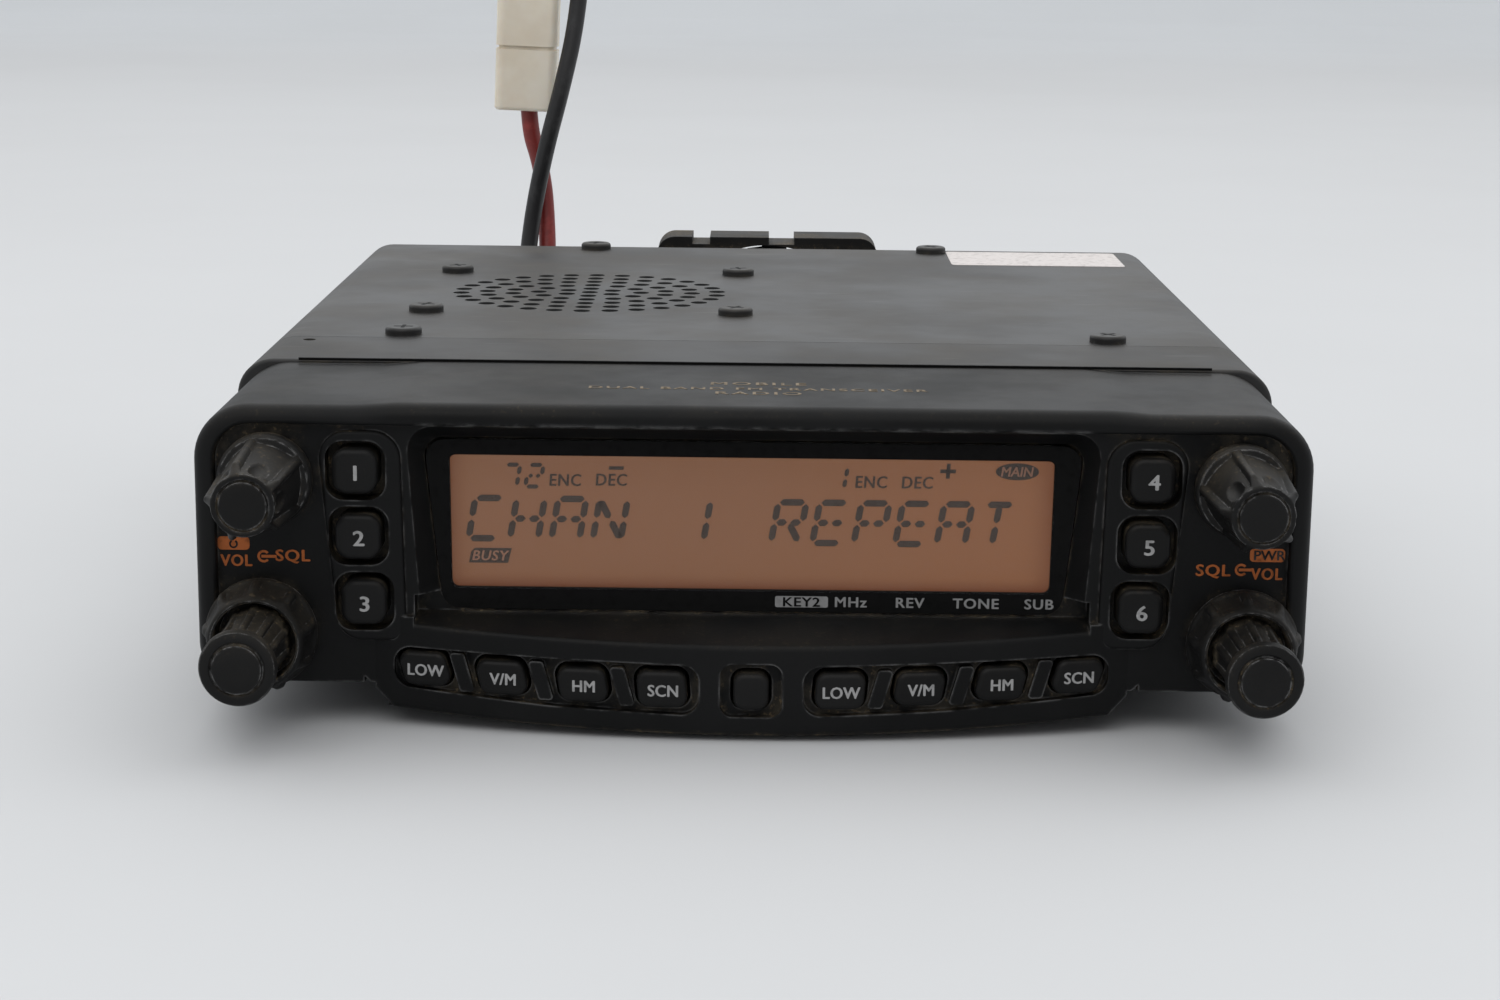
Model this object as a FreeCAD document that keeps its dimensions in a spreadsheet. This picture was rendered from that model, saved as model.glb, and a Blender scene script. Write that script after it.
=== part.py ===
import FreeCAD, Part
import math
import os
import sys

import Sketcher
from FreeCAD import Placement, Rotation, Vector

# Dual-band mobile transceiver.  Millimetres, +X to the right seen from the front, +Y to the rear, +Z up.
# The origin is on the table under the middle of the radio, measured without its supply lead.

SIZES = (
    ("body_width", 140.0, "outside width of the chassis"),
    ("body_height", 41.5, "table to the top of the cover"),
    ("face_y", -81.25, "front rim of the panel"),
    ("panel_width", 139.4, "outside width of the front panel"),
    ("panel_depth", 33.0, "front rim to the back of the panel"),
    ("panel_low", 5.5, "underside of the panel beside the chin"),
    ("panel_seam", 0.35, "gap between panel and chassis"),
    ("panel_wall", 2.2, "wall of the panel moulding"),
    ("rim_width", 2.7, "raised bead round the face"),
    ("rim_depth", 1.4, "front of the bead to the face"),
    ("pod_height", 0.8, "raised field round the numbered keys"),
    ("chin_half", 47.5, "half width of the bowed chin"),
    ("chin_bow", 4.4, "how far the middle of the chin stands forward of the rim"),
    ("chin_low", 0.7, "lowest point of the chin"),
    ("slot_depth", 1.2, "depth of the trough round the lower keys"),
    ("recess_depth", 4.2, "front rim to the seat of the window"),
    ("lens_thick", 1.5, "window thickness"),
    ("board_y", 12.0, "front rim to the panel circuit board"),
    ("board_thick", 1.6, "circuit board thickness"),
    ("dial_x", 60.6, "upper knob axis from the middle"),
    ("dial_z", 31.9, "upper knob axis above the table"),
    ("volume_x", 61.4, "lower knob axis from the middle"),
    ("volume_z", 12.4, "lower knob axis above the table"),
    ("shaft_radius", 2.0, "control shafts"),
    ("running_gap", 0.04, "radial clearance of a turning or sliding fit"),
    ("knob_push", 0.5, "travel of a pushed knob"),
    ("key_wide", 5.7, "numbered key"),
    ("key_well", 7.5, "opening round a numbered key"),
    ("low_key_wide", 6.2, "lower row key, width"),
    ("low_key_tall", 4.3, "lower row key, height"),
    ("well_gap", 0.4, "clearance round a lower row key"),
    ("chassis_rear", 160.0, "front rim to the back wall of the chassis"),
    ("fin_depth", 8.0, "cooling fins behind the back wall"),
    ("fin_thick", 1.6, "one cooling fin"),
    ("fin_pitch", 4.0, "spacing of the cooling fins"),
    ("cover_front", 53.4, "front rim to the front edge of the top cover"),
    ("cover_thick", 1.0, "sheet metal covers"),
    ("cover_flange", 9.0, "height of the cover's side flanges"),
    ("chassis_wall", 4.0, "die-cast side walls"),
    ("chassis_floor", 3.0, "die-cast floor"),
    ("speaker_x", -26.4, "middle of the loudspeaker"),
    ("speaker_y", 101.5, "front rim to the middle of the loudspeaker"),
    ("speaker_hole_x", 23.3, "loudspeaker screw from its middle, across"),
    ("speaker_hole_y", 22.5, "loudspeaker screw from its middle, along"),
    ("grille_pitch", 4.05, "spacing of the rings of grille holes"),
    ("grille_hole", 1.3, "radius of a grille hole"),
    ("fan_size", 40.0, "square fan frame"),
    ("fan_thick", 10.0, "fan frame thickness"),
    ("fan_x", 1.8, "middle of the fan"),
    ("fan_z", 22.5, "middle of the fan above the table"),
    ("antenna_x", 46.0, "antenna socket axis"),
    ("rear_jack_x", -58.0, "jacks on the back wall"),
    ("socket_z", 21.0, "sockets above the table"),
    ("lead_x", -42.5, "supply lead grommet"),
    ("lead_z", 15.0, "supply lead above the table"),
    ("lead_radius", 1.6, "each supply wire over its insulation"),
    ("bracket_hole", 1.65, "tapped side hole for the mounting bracket, wall radius"),
    ("bracket_y", 88.0, "front rim to the first bracket hole"),
    ("bracket_pitch", 40.0, "spacing of the bracket holes"),
)

DIAL_TURN = 22.0
UPPER_KEYS = ((49.5, 33.0), (49.2, 24.7), (48.6, 16.3))
LOWER_PLACES = ((11.1, 5.0), (21.0, 10.0), (31.2, 14.0), (41.0, 17.0))
LEFT_NAMES = ("scan", "hm", "vm", "low")
RIGHT_NAMES = ("low", "vm", "hm", "scan")
BAR_PLACES = (36.3, 26.3, 16.1)
BAR_LEAN = 16.0

doc = FreeCAD.newDocument("MobileTransceiver")
sheet = doc.addObject("Spreadsheet::Sheet", "Sizes")
for row, (alias, value, meaning) in enumerate(SIZES, start=1):
    sheet.set(f"A{row}", meaning)
    sheet.set(f"B{row}", str(value))
    sheet.setAlias(f"B{row}", alias)
doc.recompute()

ORIGIN_PLANES = {"top": "XY_Plane", "front": "XZ_Plane", "side": "YZ_Plane"}
subparts = []


def size(alias):
    return float(sheet.get(alias))


def at_face(depth):
    """A place along Y, as an expression, counted from the panel's front rim."""
    return f"Sizes.face_y + {depth}"


# ---------------------------------------------------------------- sketches and features


def new_body(label, x="0", y="Sizes.face_y", z="0", turn=None):
    body = doc.addObject("PartDesign::Body", "Body_" + label)
    body.Label = label
    if turn:
        body.Placement = Placement(Vector(), Rotation(*turn))
    for axis, expression in zip("xyz", (x, y, z)):
        body.setExpression(f"Placement.Base.{axis}", str(expression))
    subparts.append(body)
    return body


def new_sketch(body, side, place="0"):
    """A sketch across one of the body's own origin planes, moved along the plane's axis."""
    sketch = body.newObject("Sketcher::SketchObject", "Sketch")
    role = ORIGIN_PLANES[side]
    plane = next(part for part in body.Origin.OriginFeatures if part.Role == role)
    sketch.AttachmentSupport = [(plane, "")]
    sketch.MapMode = "FlatFace"
    sign = "-" if side == "front" else ""
    sketch.setExpression("AttachmentOffset.Base.z", f"{sign}({place})")
    return sketch


def value_of(sketch, expression):
    return float(sketch.evalExpression(str(expression)))


def bound(sketch, kind, expression, *references):
    """Add one dimension to a sketch and bind it to the sheet."""
    constraint = Sketcher.Constraint(kind, *references, value_of(sketch, expression))
    name = f"{kind.lower()}_{sketch.ConstraintCount}"
    index = sketch.addConstraint(constraint)
    sketch.renameConstraint(index, name)
    sketch.setExpression("Constraints." + name, str(expression))


def circle(sketch, radius, x="0", y="0"):
    centre = Vector(value_of(sketch, x), value_of(sketch, y), 0)
    shape = Part.Circle(centre, Vector(0, 0, 1), value_of(sketch, radius))
    index = sketch.addGeometry(shape, False)
    bound(sketch, "Radius", radius, index)
    bound(sketch, "DistanceX", x, -1, 1, index, 3)
    bound(sketch, "DistanceY", y, -1, 1, index, 3)


def rectangle(sketch, left, low, wide, tall):
    x, y = value_of(sketch, left), value_of(sketch, low)
    w, h = value_of(sketch, wide), value_of(sketch, tall)
    corners = [Vector(x, y, 0), Vector(x + w, y, 0), Vector(x + w, y + h, 0), Vector(x, y + h, 0)]
    lines = []
    for index in range(4):
        lines.append(sketch.addGeometry(Part.LineSegment(corners[index], corners[(index + 1) % 4]), False))
    for index in range(4):
        sketch.addConstraint(Sketcher.Constraint("Coincident", lines[index], 2, lines[(index + 1) % 4], 1))
    for index, direction in enumerate(("Horizontal", "Vertical", "Horizontal", "Vertical")):
        sketch.addConstraint(Sketcher.Constraint(direction, lines[index]))
    bound(sketch, "DistanceX", left, -1, 1, lines[0], 1)
    bound(sketch, "DistanceY", low, -1, 1, lines[0], 1)
    bound(sketch, "DistanceX", wide, lines[0], 1, lines[0], 2)
    bound(sketch, "DistanceY", tall, lines[1], 1, lines[1], 2)


def outline(sketch, corners):
    """A closed outline of straight sides; each corner is (x, y, radius), rounded by an arc."""
    points = [Vector(x, y, 0) for x, y, radius in corners]
    starts, ends, arcs = [], [], []
    for index, (x, y, radius) in enumerate(corners):
        here = points[index]
        before = (points[index - 1] - here).normalize()
        after = (points[(index + 1) % len(points)] - here).normalize()
        half = before.getAngle(after) / 2
        reach = radius / math.tan(half)
        starts.append(here + before * reach)
        ends.append(here + after * reach)
        middle = (before + after).normalize()
        arcs.append(here + middle * (radius / math.sin(half) - radius) if radius else None)
    for index in range(len(corners)):
        if arcs[index]:
            arc = Part.Arc(starts[index], arcs[index], ends[index])
            block(sketch, arc)
        following = starts[(index + 1) % len(corners)]
        if (following - ends[index]).Length > 1e-6:
            block(sketch, Part.LineSegment(ends[index], following))


def block(sketch, geometry):
    index = sketch.addGeometry(geometry, False)
    sketch.addConstraint(Sketcher.Constraint("Block", index))


def rounded(sketch, left, low, wide, tall, radius):
    x, y = value_of(sketch, left), value_of(sketch, low)
    w, h = value_of(sketch, wide), value_of(sketch, tall)
    r = value_of(sketch, radius)
    centres = [Vector(x + r, y + r, 0), Vector(x + w - r, y + r, 0)]
    centres += [Vector(x + w - r, y + h - r, 0), Vector(x + r, y + h - r, 0)]
    normal = Vector(0, 0, 1)
    arcs, lines = [], []
    for index, centre in enumerate(centres):
        start = math.pi + index * math.pi / 2
        arc = Part.ArcOfCircle(Part.Circle(centre, normal, r), start, start + math.pi / 2)
        arcs.append(sketch.addGeometry(arc, False))
    for index in range(4):
        first = sketch.Geometry[arcs[index]].EndPoint
        second = sketch.Geometry[arcs[(index + 1) % 4]].StartPoint
        lines.append(sketch.addGeometry(Part.LineSegment(first, second), False))
    for index in range(4):
        sketch.addConstraint(Sketcher.Constraint("Tangent", arcs[index], 2, lines[index], 1))
        sketch.addConstraint(Sketcher.Constraint("Tangent", lines[index], 2, arcs[(index + 1) % 4], 1))
    for index, direction in enumerate(("Horizontal", "Vertical", "Horizontal", "Vertical")):
        sketch.addConstraint(Sketcher.Constraint(direction, lines[index]))
    for index in range(1, 4):
        sketch.addConstraint(Sketcher.Constraint("Equal", arcs[0], arcs[index]))
    bound(sketch, "Radius", radius, arcs[0])
    bound(sketch, "DistanceX", f"{left} + ({radius})", -1, 1, arcs[0], 3)
    bound(sketch, "DistanceY", f"{low} + ({radius})", -1, 1, arcs[0], 3)
    bound(sketch, "DistanceX", f"{left} + {wide} - ({radius})", -1, 1, arcs[2], 3)
    bound(sketch, "DistanceY", f"{low} + {tall} - ({radius})", -1, 1, arcs[2], 3)


def slab(body, side, start, length, *drawings, cut=False):
    """Pad, or cut, the drawn shapes from start to start + length along the plane's axis."""
    before = body.Tip.Shape.Volume if body.Tip else 0.0
    sketch = new_sketch(body, side, start)
    for draw, *values in drawings:
        draw(sketch, *values)
    feature = body.newObject("PartDesign::Pocket" if cut else "PartDesign::Pad", "Cut" if cut else "Pad")
    feature.Profile = sketch
    feature.setExpression("Length", str(length))
    feature.Reversed = cut != (side == "front")
    body.Tip = feature
    doc.recompute([body])
    change = feature.Shape.Volume - before
    if (change > -1e-6) if cut else (change < 1e-6):
        raise RuntimeError(f"{body.Label}: {feature.Name} changes nothing")
    return feature


def lathe(body, side, corners):
    """Turn an outline of (radius, height, corner radius) points about the sketch's upright axis."""
    sketch = new_sketch(body, side)
    outline(sketch, corners)
    feature = body.newObject("PartDesign::Revolution", "Turned")
    feature.Profile = sketch
    feature.ReferenceAxis = (sketch, ["V_Axis"])
    feature.Angle = 360
    body.Tip = feature
    doc.recompute([body])
    return feature


def around(body, features, count):
    """Repeat features round the body's own Y axis."""
    pattern = body.newObject("PartDesign::PolarPattern", "Around")
    pattern.Originals = features
    axis = next(part for part in body.Origin.OriginFeatures if part.Role == "Y_Axis")
    pattern.Axis = (axis, [""])
    pattern.Angle = 360
    pattern.Occurrences = count
    body.Tip = pattern
    doc.recompute([body])
    return pattern


def soften(body, radius, wanted):
    """Round the edges that the test picks."""
    base = body.Tip
    names = [f"Edge{i}" for i, edge in enumerate(base.Shape.Edges, start=1) if wanted(edge)]
    if not names:
        raise RuntimeError(f"{body.Label}: no edge to round")
    feature = body.newObject("PartDesign::Fillet", "Softened")
    feature.Base = (base, names)
    feature.Radius = radius
    body.Tip = feature
    doc.recompute([body])
    if feature.Shape.isNull() or "Invalid" in feature.State:
        raise RuntimeError(f"{body.Label}: an edge can't take a radius of {radius}")
    return feature


def on_plane(axis, place, tolerance=0.02):
    """A test for edges that lie wholly in one plane."""
    def wanted(edge):
        box = edge.BoundBox
        low, high = getattr(box, axis + "Min"), getattr(box, axis + "Max")
        return abs(low - place) < tolerance and abs(high - place) < tolerance
    return wanted


# ---------------------------------------------------------------- shared outlines


def panel_outline(low):
    half = size("panel_width") / 2
    top = size("body_height")
    shoulder = top - 0.4
    right = [(half, low, 5.0), (half, shoulder, 7.0), (49.5, shoulder, 14.0), (44.5, top, 14.0)]
    left = [(-x, z, radius) for x, z, radius in reversed(right)]
    return right + left


def lens_outline(grow):
    low, high = 14.65 - grow, 36.5 + grow
    bottom, top = 38.9 + grow, 41.3 + grow
    return [(-bottom, low, 4.5), (bottom, low, 4.5), (top, high, 2.4), (-top, high, 2.4)]


def chin_radius():
    reach = size("chin_bow") + size("rim_depth")
    half = size("chin_half")
    return (half * half + reach * reach) / (2 * reach)


def chin_front(x, inward=0.0):
    """Y of the bowed chin face at x, or of the surface a little inside it."""
    radius = chin_radius()
    return radius - size("chin_bow") - math.sqrt((radius - inward) ** 2 - x * x)


def bowed(sketch, half, inward, back):
    """A plan outline with the chin's bowed front and a straight back."""
    left = Vector(-half, chin_front(half, inward), 0)
    middle = Vector(0, chin_front(0, inward), 0)
    right = Vector(half, chin_front(half, inward), 0)
    block(sketch, Part.Arc(left, middle, right))
    block(sketch, Part.LineSegment(right, Vector(half, back, 0)))
    block(sketch, Part.LineSegment(Vector(half, back, 0), Vector(-half, back, 0)))
    block(sketch, Part.LineSegment(Vector(-half, back, 0), left))


def row_height(x):
    """The lower keys lie on a shallow curve, lowest in the middle."""
    return 6.6 + 1.3 * (x / 41.0) ** 2


def leaning(x, z, wide, tall, lean, radius):
    """A parallelogram whose foot leans towards the middle of the panel."""
    shift = math.tan(math.radians(lean)) * tall / 2 * (1 if x < 0 else -1)
    low, high = z - tall / 2, z + tall / 2
    near, far = x - wide / 2, x + wide / 2
    foot = [(near + shift, low, radius), (far + shift, low, radius)]
    return foot + [(far - shift, high, radius), (near - shift, high, radius)]


def group_slot(side):
    """The trough round one group of four lower keys."""
    inner, middle, outer = 6.5, 25.0, 45.0
    floor, roof = 3.15, 3.0
    corners = [
        (side * outer, row_height(outer) - floor + 0.4, 2.2),
        (side * middle, row_height(middle) - floor, 40.0),
        (side * inner, row_height(inner) - floor - 0.2, 2.2),
        (side * inner, row_height(inner) + roof + 0.1, 2.2),
        (side * middle, row_height(middle) + roof, 40.0),
        (side * outer, row_height(outer) + roof - 0.6, 2.2),
    ]
    return corners if side > 0 else list(reversed(corners))


# ---------------------------------------------------------------- front panel


def panel_shell():
    shell = new_body("panel_shell")
    wall = size("panel_wall")
    half = size("panel_width") / 2
    face = size("rim_depth")
    slab(shell, "front", "0", "Sizes.panel_depth", (outline, panel_outline(size("panel_low"))))
    soften(shell, 2.0, on_plane("Y", 0))

    inner = half - size("rim_width")
    roof = size("body_height") - size("rim_width")
    corners = [(-inner, 0, 0), (inner, 0, 0), (inner, roof, 4.6), (-inner, roof, 4.6)]
    slab(shell, "front", "-1", "Sizes.rim_depth + 1", (outline, corners), cut=True)

    def bead_inside(edge):
        box = edge.BoundBox
        within = box.XMax < inner + 0.1 and box.XMin > -inner - 0.1 and box.ZMax < roof + 0.1
        return within and on_plane("Y", 0)(edge)

    soften(shell, 0.5, bead_inside)

    pods = []
    for side in (-1, 1):
        pod = [(51.9, 11.2, 3.2), (54.4, 38.0, 3.6), (44.0, 38.0, 3.6), (43.4, 11.2, 2.0)]
        pods.append([(side * x, z, radius) for x, z, radius in pod])
    pod_front = "Sizes.rim_depth - Sizes.pod_height"
    slab(shell, "front", pod_front, "Sizes.pod_height", *[(outline, corners) for corners in pods])
    soften(shell, 0.5, on_plane("Y", face - size("pod_height")))

    back = 16.0
    slab(shell, "top", "0.2", "14.2", (bowed, size("chin_half"), 0.0, back))
    shoulder, foot = Vector(48.9, 6.4, 0), Vector(45.0, 2.4, 0)
    below = Vector(48.9, -2, 0)

    def under_chin(sketch):
        flip = FreeCAD.Matrix(-1, 0, 0, 0, 0, 1, 0, 0, 0, 0, 1, 0, 0, 0, 0, 1)
        block(sketch, Part.Arc(flip * foot, Vector(0, size("chin_low"), 0), foot))
        corners = [foot, shoulder, below, flip * below, flip * shoulder, flip * foot]
        for first, second in zip(corners, corners[1:]):
            block(sketch, Part.LineSegment(first, second))

    slab(shell, "front", "-8", "30", (under_chin,), cut=True)

    outer_loft = new_sketch(shell, "front", "0.2")
    outline(outer_loft, [(-42.6, 13.4, 4.0), (42.6, 13.4, 4.0), (44.1, 39.3, 3.4), (-44.1, 39.3, 3.4)])
    inner_loft = new_sketch(shell, "front", "Sizes.recess_depth")
    outline(inner_loft, lens_outline(0.25))
    recess = shell.newObject("PartDesign::SubtractiveLoft", "WindowRecess")
    recess.Profile = outer_loft
    recess.Sections = [inner_loft]
    recess.Ruled = True
    shell.Tip = recess
    doc.recompute()

    shelf = [(4.3, 14.4, 0), (4.3, 17.0, 0), (-9.0, 17.0, 0), (-9.0, 11.08, 0)]
    slab(shell, "side", "-42.4", "84.8", (outline, shelf), cut=True)

    def chin_edge(edge):
        box = edge.BoundBox
        ridge = box.ZMin > 11.5 and box.ZMax < 14.6 and box.YMax < 1.3 and box.XLength > 60
        foot = box.ZMax < 3 and box.YMin < -3 and box.XLength > 60
        return ridge or foot

    soften(shell, 0.7, chin_edge)

    troughs = [(outline, group_slot(side)) for side in (-1, 1)]
    troughs += [(outline, [(-3.9, 3.2, 1.6), (3.9, 3.2, 1.6), (3.9, 10.0, 1.6), (-3.9, 10.0, 1.6)])]
    for side in (-1, 1):
        for place in BAR_PLACES:
            x = side * place
            troughs.append((outline, leaning(x, row_height(x), 1.9, 4.9, BAR_LEAN, 0.45)))
    slab(shell, "front", "-8", "10", *troughs, cut=True)
    slab(shell, "top", "2.4", "9.6", (bowed, 46.0, size("slot_depth"), 6.0))

    slab(shell, "front", "Sizes.recess_depth - 0.5", "2.3", (outline, lens_outline(0.25)), cut=True)
    light_hole = [(-39.4, 16.0, 1), (39.4, 16.0, 1), (39.4, 35.6, 1), (-39.4, 35.6, 1)]
    slab(shell, "front", "3", "8", (outline, light_hole), cut=True)

    roof = size("body_height") - wall - 0.2
    floor = size("panel_low") + wall
    inner = half - wall
    cavity = [(-inner, floor, 3), (inner, floor, 3), (inner, roof, 5), (-inner, roof, 5)]
    slab(shell, "front", "8", "Sizes.panel_depth", (outline, cavity), cut=True)
    pocket = inner - 1.0 - 44.2
    sides = [(rectangle, left, floor + 0.5, pocket, roof - floor - 1) for left in (44.2, -44.2 - pocket)]
    slab(shell, "front", "Sizes.rim_depth + Sizes.panel_wall", "8", *sides, cut=True)
    slab(shell, "top", "3.0", "8.4", (bowed, 44.3, size("slot_depth") + 1.5, 14.0), cut=True)

    wells = []
    reach = size("key_well") / 2
    for side in (-1, 1):
        for x, z in UPPER_KEYS:
            wells.append((rounded, side * x - reach, z - reach, "Sizes.key_well", "Sizes.key_well", 2.3))
    slab(shell, "front", "-3", "8", *wells, cut=True)
    lower = [(outline, low_key_outline(key, size("well_gap"))) for key in low_keys()]
    slab(shell, "front", "-8", "14", *lower, cut=True)
    holes = []
    for side in (-1, 1):
        holes.append((circle, 3.7, f"{side} * Sizes.dial_x", "Sizes.dial_z"))
        holes.append((circle, 4.4, f"{side} * Sizes.volume_x", "Sizes.volume_z"))
    slab(shell, "front", "-3", "8", *holes, cut=True)
    posts = [(circle, 2.1, side * 56.0, 22.2) for side in (-1, 1)]
    slab(shell, "front", "3", "27.4", *posts)
    slab(shell, "front", "20", "12", *[(circle, 0.9, side * 56.0, 22.2) for side in (-1, 1)], cut=True)


def low_keys():
    keys = []
    for side, word, names in ((-1, "left", LEFT_NAMES), (1, "right", RIGHT_NAMES)):
        for name, (x, lean) in zip(names, LOWER_PLACES):
            keys.append((f"key_{name}_{word}", side * x, lean))
    keys.append(("key_set", 0.0, 0.0))
    return keys


def low_key_outline(key, grow=0.0):
    x, lean = key[1:]
    wide = size("low_key_wide") if x else 4.4
    tall = size("low_key_tall") + (0.3 if abs(x) < 12 else 0)
    return leaning(x, row_height(x), wide + 2 * grow, tall + 2 * grow, lean, 1.35 + grow)


def low_key(key):
    label, x, lean = key
    body = new_body(label)
    slab(body, "front", "-7", "11", (outline, low_key_outline(key)))
    proud = 0.75

    def in_front(sketch):
        left, right = x - 6, x + 6
        ends = [Vector(place, chin_front(place, -proud), 0) for place in (left, x, right)]
        block(sketch, Part.Arc(*ends))
        block(sketch, Part.LineSegment(ends[2], Vector(right, -12, 0)))
        block(sketch, Part.LineSegment(Vector(right, -12, 0), Vector(left, -12, 0)))
        block(sketch, Part.LineSegment(Vector(left, -12, 0), ends[0]))

    slab(body, "top", "0", "14", (in_front,), cut=True)

    def front_edge(edge):
        return edge.BoundBox.YMax < chin_front(abs(x) + 3.9, -proud) + 0.3

    soften(body, 0.65, front_edge)
    z = row_height(x)
    slab(body, "front", "4", "0.8", (rectangle, x - 2.7, z - 3.1, 5.4, 6.2))
    slab(body, "front", "4", "7", (rectangle, x - 1.5, z - 1.3, 3.0, 2.6))


def upper_key(label, x, z):
    body = new_body(label, x=x, z=z)
    half = size("key_wide") / 2
    slab(body, "front", "-0.5", "4.5", (rounded, -half, -half, "Sizes.key_wide", "Sizes.key_wide", 1.8))
    soften(body, 0.75, on_plane("Y", -0.5))
    slab(body, "front", "3.9", "0.8", (rounded, -3.95, -3.95, 7.9, 7.9, 1.5))
    slab(body, "front", "4", "7", (rectangle, -1.5, -1.5, 3.0, 3.0))


def window_lens():
    lens = new_body("window_lens")
    slab(lens, "front", "Sizes.recess_depth - 0.3", "Sizes.lens_thick", (outline, lens_outline(0)))
    soften(lens, 0.25, on_plane("Y", size("recess_depth") - 0.3))


def display_parts():
    glass = new_body("lcd_glass")
    slab(glass, "front", "8.15", "1.9", (rectangle, -40.6, 14.4, 81.2, 22.6))
    guide = new_body("light_guide")
    slab(guide, "front", "10.15", "1.75", (rectangle, -40.6, 14.4, 81.2, 22.6))


def panel_board():
    board = new_body("panel_board")
    right = [(43.0, 3.6, 1), (43.0, 9.2, 0.5), (64.5, 9.2, 2), (64.5, 37.5, 2)]
    corners = right + [(-x, z, radius) for x, z, radius in reversed(right)]
    slab(board, "front", "Sizes.board_y", "Sizes.board_thick", (outline, corners))
    holes = [(circle, 2.3, side * 56.0, 22.2) for side in (-1, 1)]
    slab(board, "front", "Sizes.board_y - 1", "4", *holes, cut=True)


def key_switches():
    """The snap domes under the keys, one disc each on the front of the board."""
    domes = new_body("key_switches")
    places = [(side * x, z) for side in (-1, 1) for x, z in UPPER_KEYS]
    places += [(key[1], row_height(key[1])) for key in low_keys()]
    slab(domes, "front", "Sizes.board_y - 0.35", "0.35", *[(circle, 2.4, x, z) for x, z in places])


def panel_back():
    plate = new_body("panel_back")
    inner = size("panel_width") / 2 - size("panel_wall") - 0.15
    floor = size("panel_low") + size("panel_wall") + 0.15
    roof = size("body_height") - size("panel_wall") - 0.35
    corners = [(-inner, floor, 2.9), (inner, floor, 2.9), (inner, roof, 4.9), (-inner, roof, 4.9)]
    slab(plate, "front", "Sizes.panel_depth - 2.5", "2.5", (outline, corners))
    holes = [(circle, 1.3, side * 56.0, 22.2) for side in (-1, 1)]
    slab(plate, "front", "20", "20", *holes, (rectangle, -11.2, 16.8, 22.4, 7.4), cut=True)
    screws = new_body("panel_screws")
    for side in (-1, 1):
        slab(screws, "front", "Sizes.panel_depth - 10", "10", (circle, 0.88, side * 56.0, 22.2))
        slab(screws, "front", "Sizes.panel_depth", "0.25", (circle, 2.2, side * 56.0, 22.2))


def contact_block():
    block_body = new_body("contact_block")
    slab(block_body, "front", "Sizes.panel_depth - 9", "9", (rounded, -11, 17, 22, 7, 1))
    pins = [(circle, 0.6, -8.75 + 2.5 * index, 20.5) for index in range(8)]
    slab(block_body, "front", "Sizes.panel_depth - 2", "3", *pins, cut=True)


# ---------------------------------------------------------------- controls


def control_bodies():
    """Rotary encoders behind the upper knobs and double potentiometers behind the lower ones."""
    slack = "Sizes.shaft_radius + Sizes.running_gap"
    encoders = new_body("dial_encoders", z="Sizes.dial_z")
    pots = new_body("volume_pots", z="Sizes.volume_z")
    dials = [f"{side} * Sizes.dial_x" for side in (-1, 1)]
    volumes = [f"{side} * Sizes.volume_x" for side in (-1, 1)]
    slab(encoders, "front", "4", "8", *[(rounded, f"{x} - 5.5", -5.5, 11, 11, 0.6) for x in dials])
    slab(encoders, "front", "-1", "6", *[(circle, 3.4, x) for x in dials])
    slab(encoders, "front", "-2", "13.8", *[(circle, slack, x) for x in dials], cut=True)
    slab(pots, "front", "4", "8", *[(rounded, f"{x} - 5.0", -3.0, 10, 8.4, 0.6) for x in volumes])
    slab(pots, "front", "1", "4", *[(circle, 4.1, x) for x in volumes])
    slab(pots, "front", "0", "8.5", *[(circle, "3 + Sizes.running_gap", x) for x in volumes], cut=True)
    slab(pots, "front", "0", "11.8", *[(circle, slack, x) for x in volumes], cut=True)
    for word, dial, volume in zip(("left", "right"), dials, volumes):
        dial_shaft = new_body(f"dial_shaft_{word}", x=dial, z="Sizes.dial_z")
        slab(dial_shaft, "front", "-12.8", "23.8", (circle, "Sizes.shaft_radius"))
        volume_shaft = new_body(f"volume_shaft_{word}", x=volume, z="Sizes.volume_z")
        slab(volume_shaft, "front", "-15.4", "26.4", (circle, "Sizes.shaft_radius"))


def dial_knob(label, side):
    knob = new_body(label, x=f"{side} * Sizes.dial_x", z="Sizes.dial_z", turn=(Vector(0, 1, 0), DIAL_TURN))
    bore = size("shaft_radius") + size("running_gap")
    corners = [
        (4.1, 0.6, 0), (5.9, 0.6, 0.3), (5.9, -0.7, 0.3), (5.55, -1.1, 0.2), (5.2, -13.0, 1.0),
        (4.2, -14.3, 0.3), (4.15, -15.7, 0.25), (3.35, -15.7, 0.15), (3.25, -15.25, 0), (3.0, -15.25, 0),
        (2.9, -16.0, 0.25), (0, -16.0, 0), (0, -13.0, 0), (bore, -13.0, 0), (bore, -2.2, 0), (4.1, -2.2, 0),
    ]
    lathe(knob, "top", corners)
    flat = slab(knob, "front", "-13.6", "11.6", (rectangle, -2.5, 4.55, 5.0, 3.45), cut=True)
    around(knob, [flat], 5)
    dimple = slab(knob, "top", "4.0", "3", (rounded, -1.15, -12.2, 2.3, 4.4, 1.14), cut=True)
    around(knob, [dimple], 5)


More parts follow.
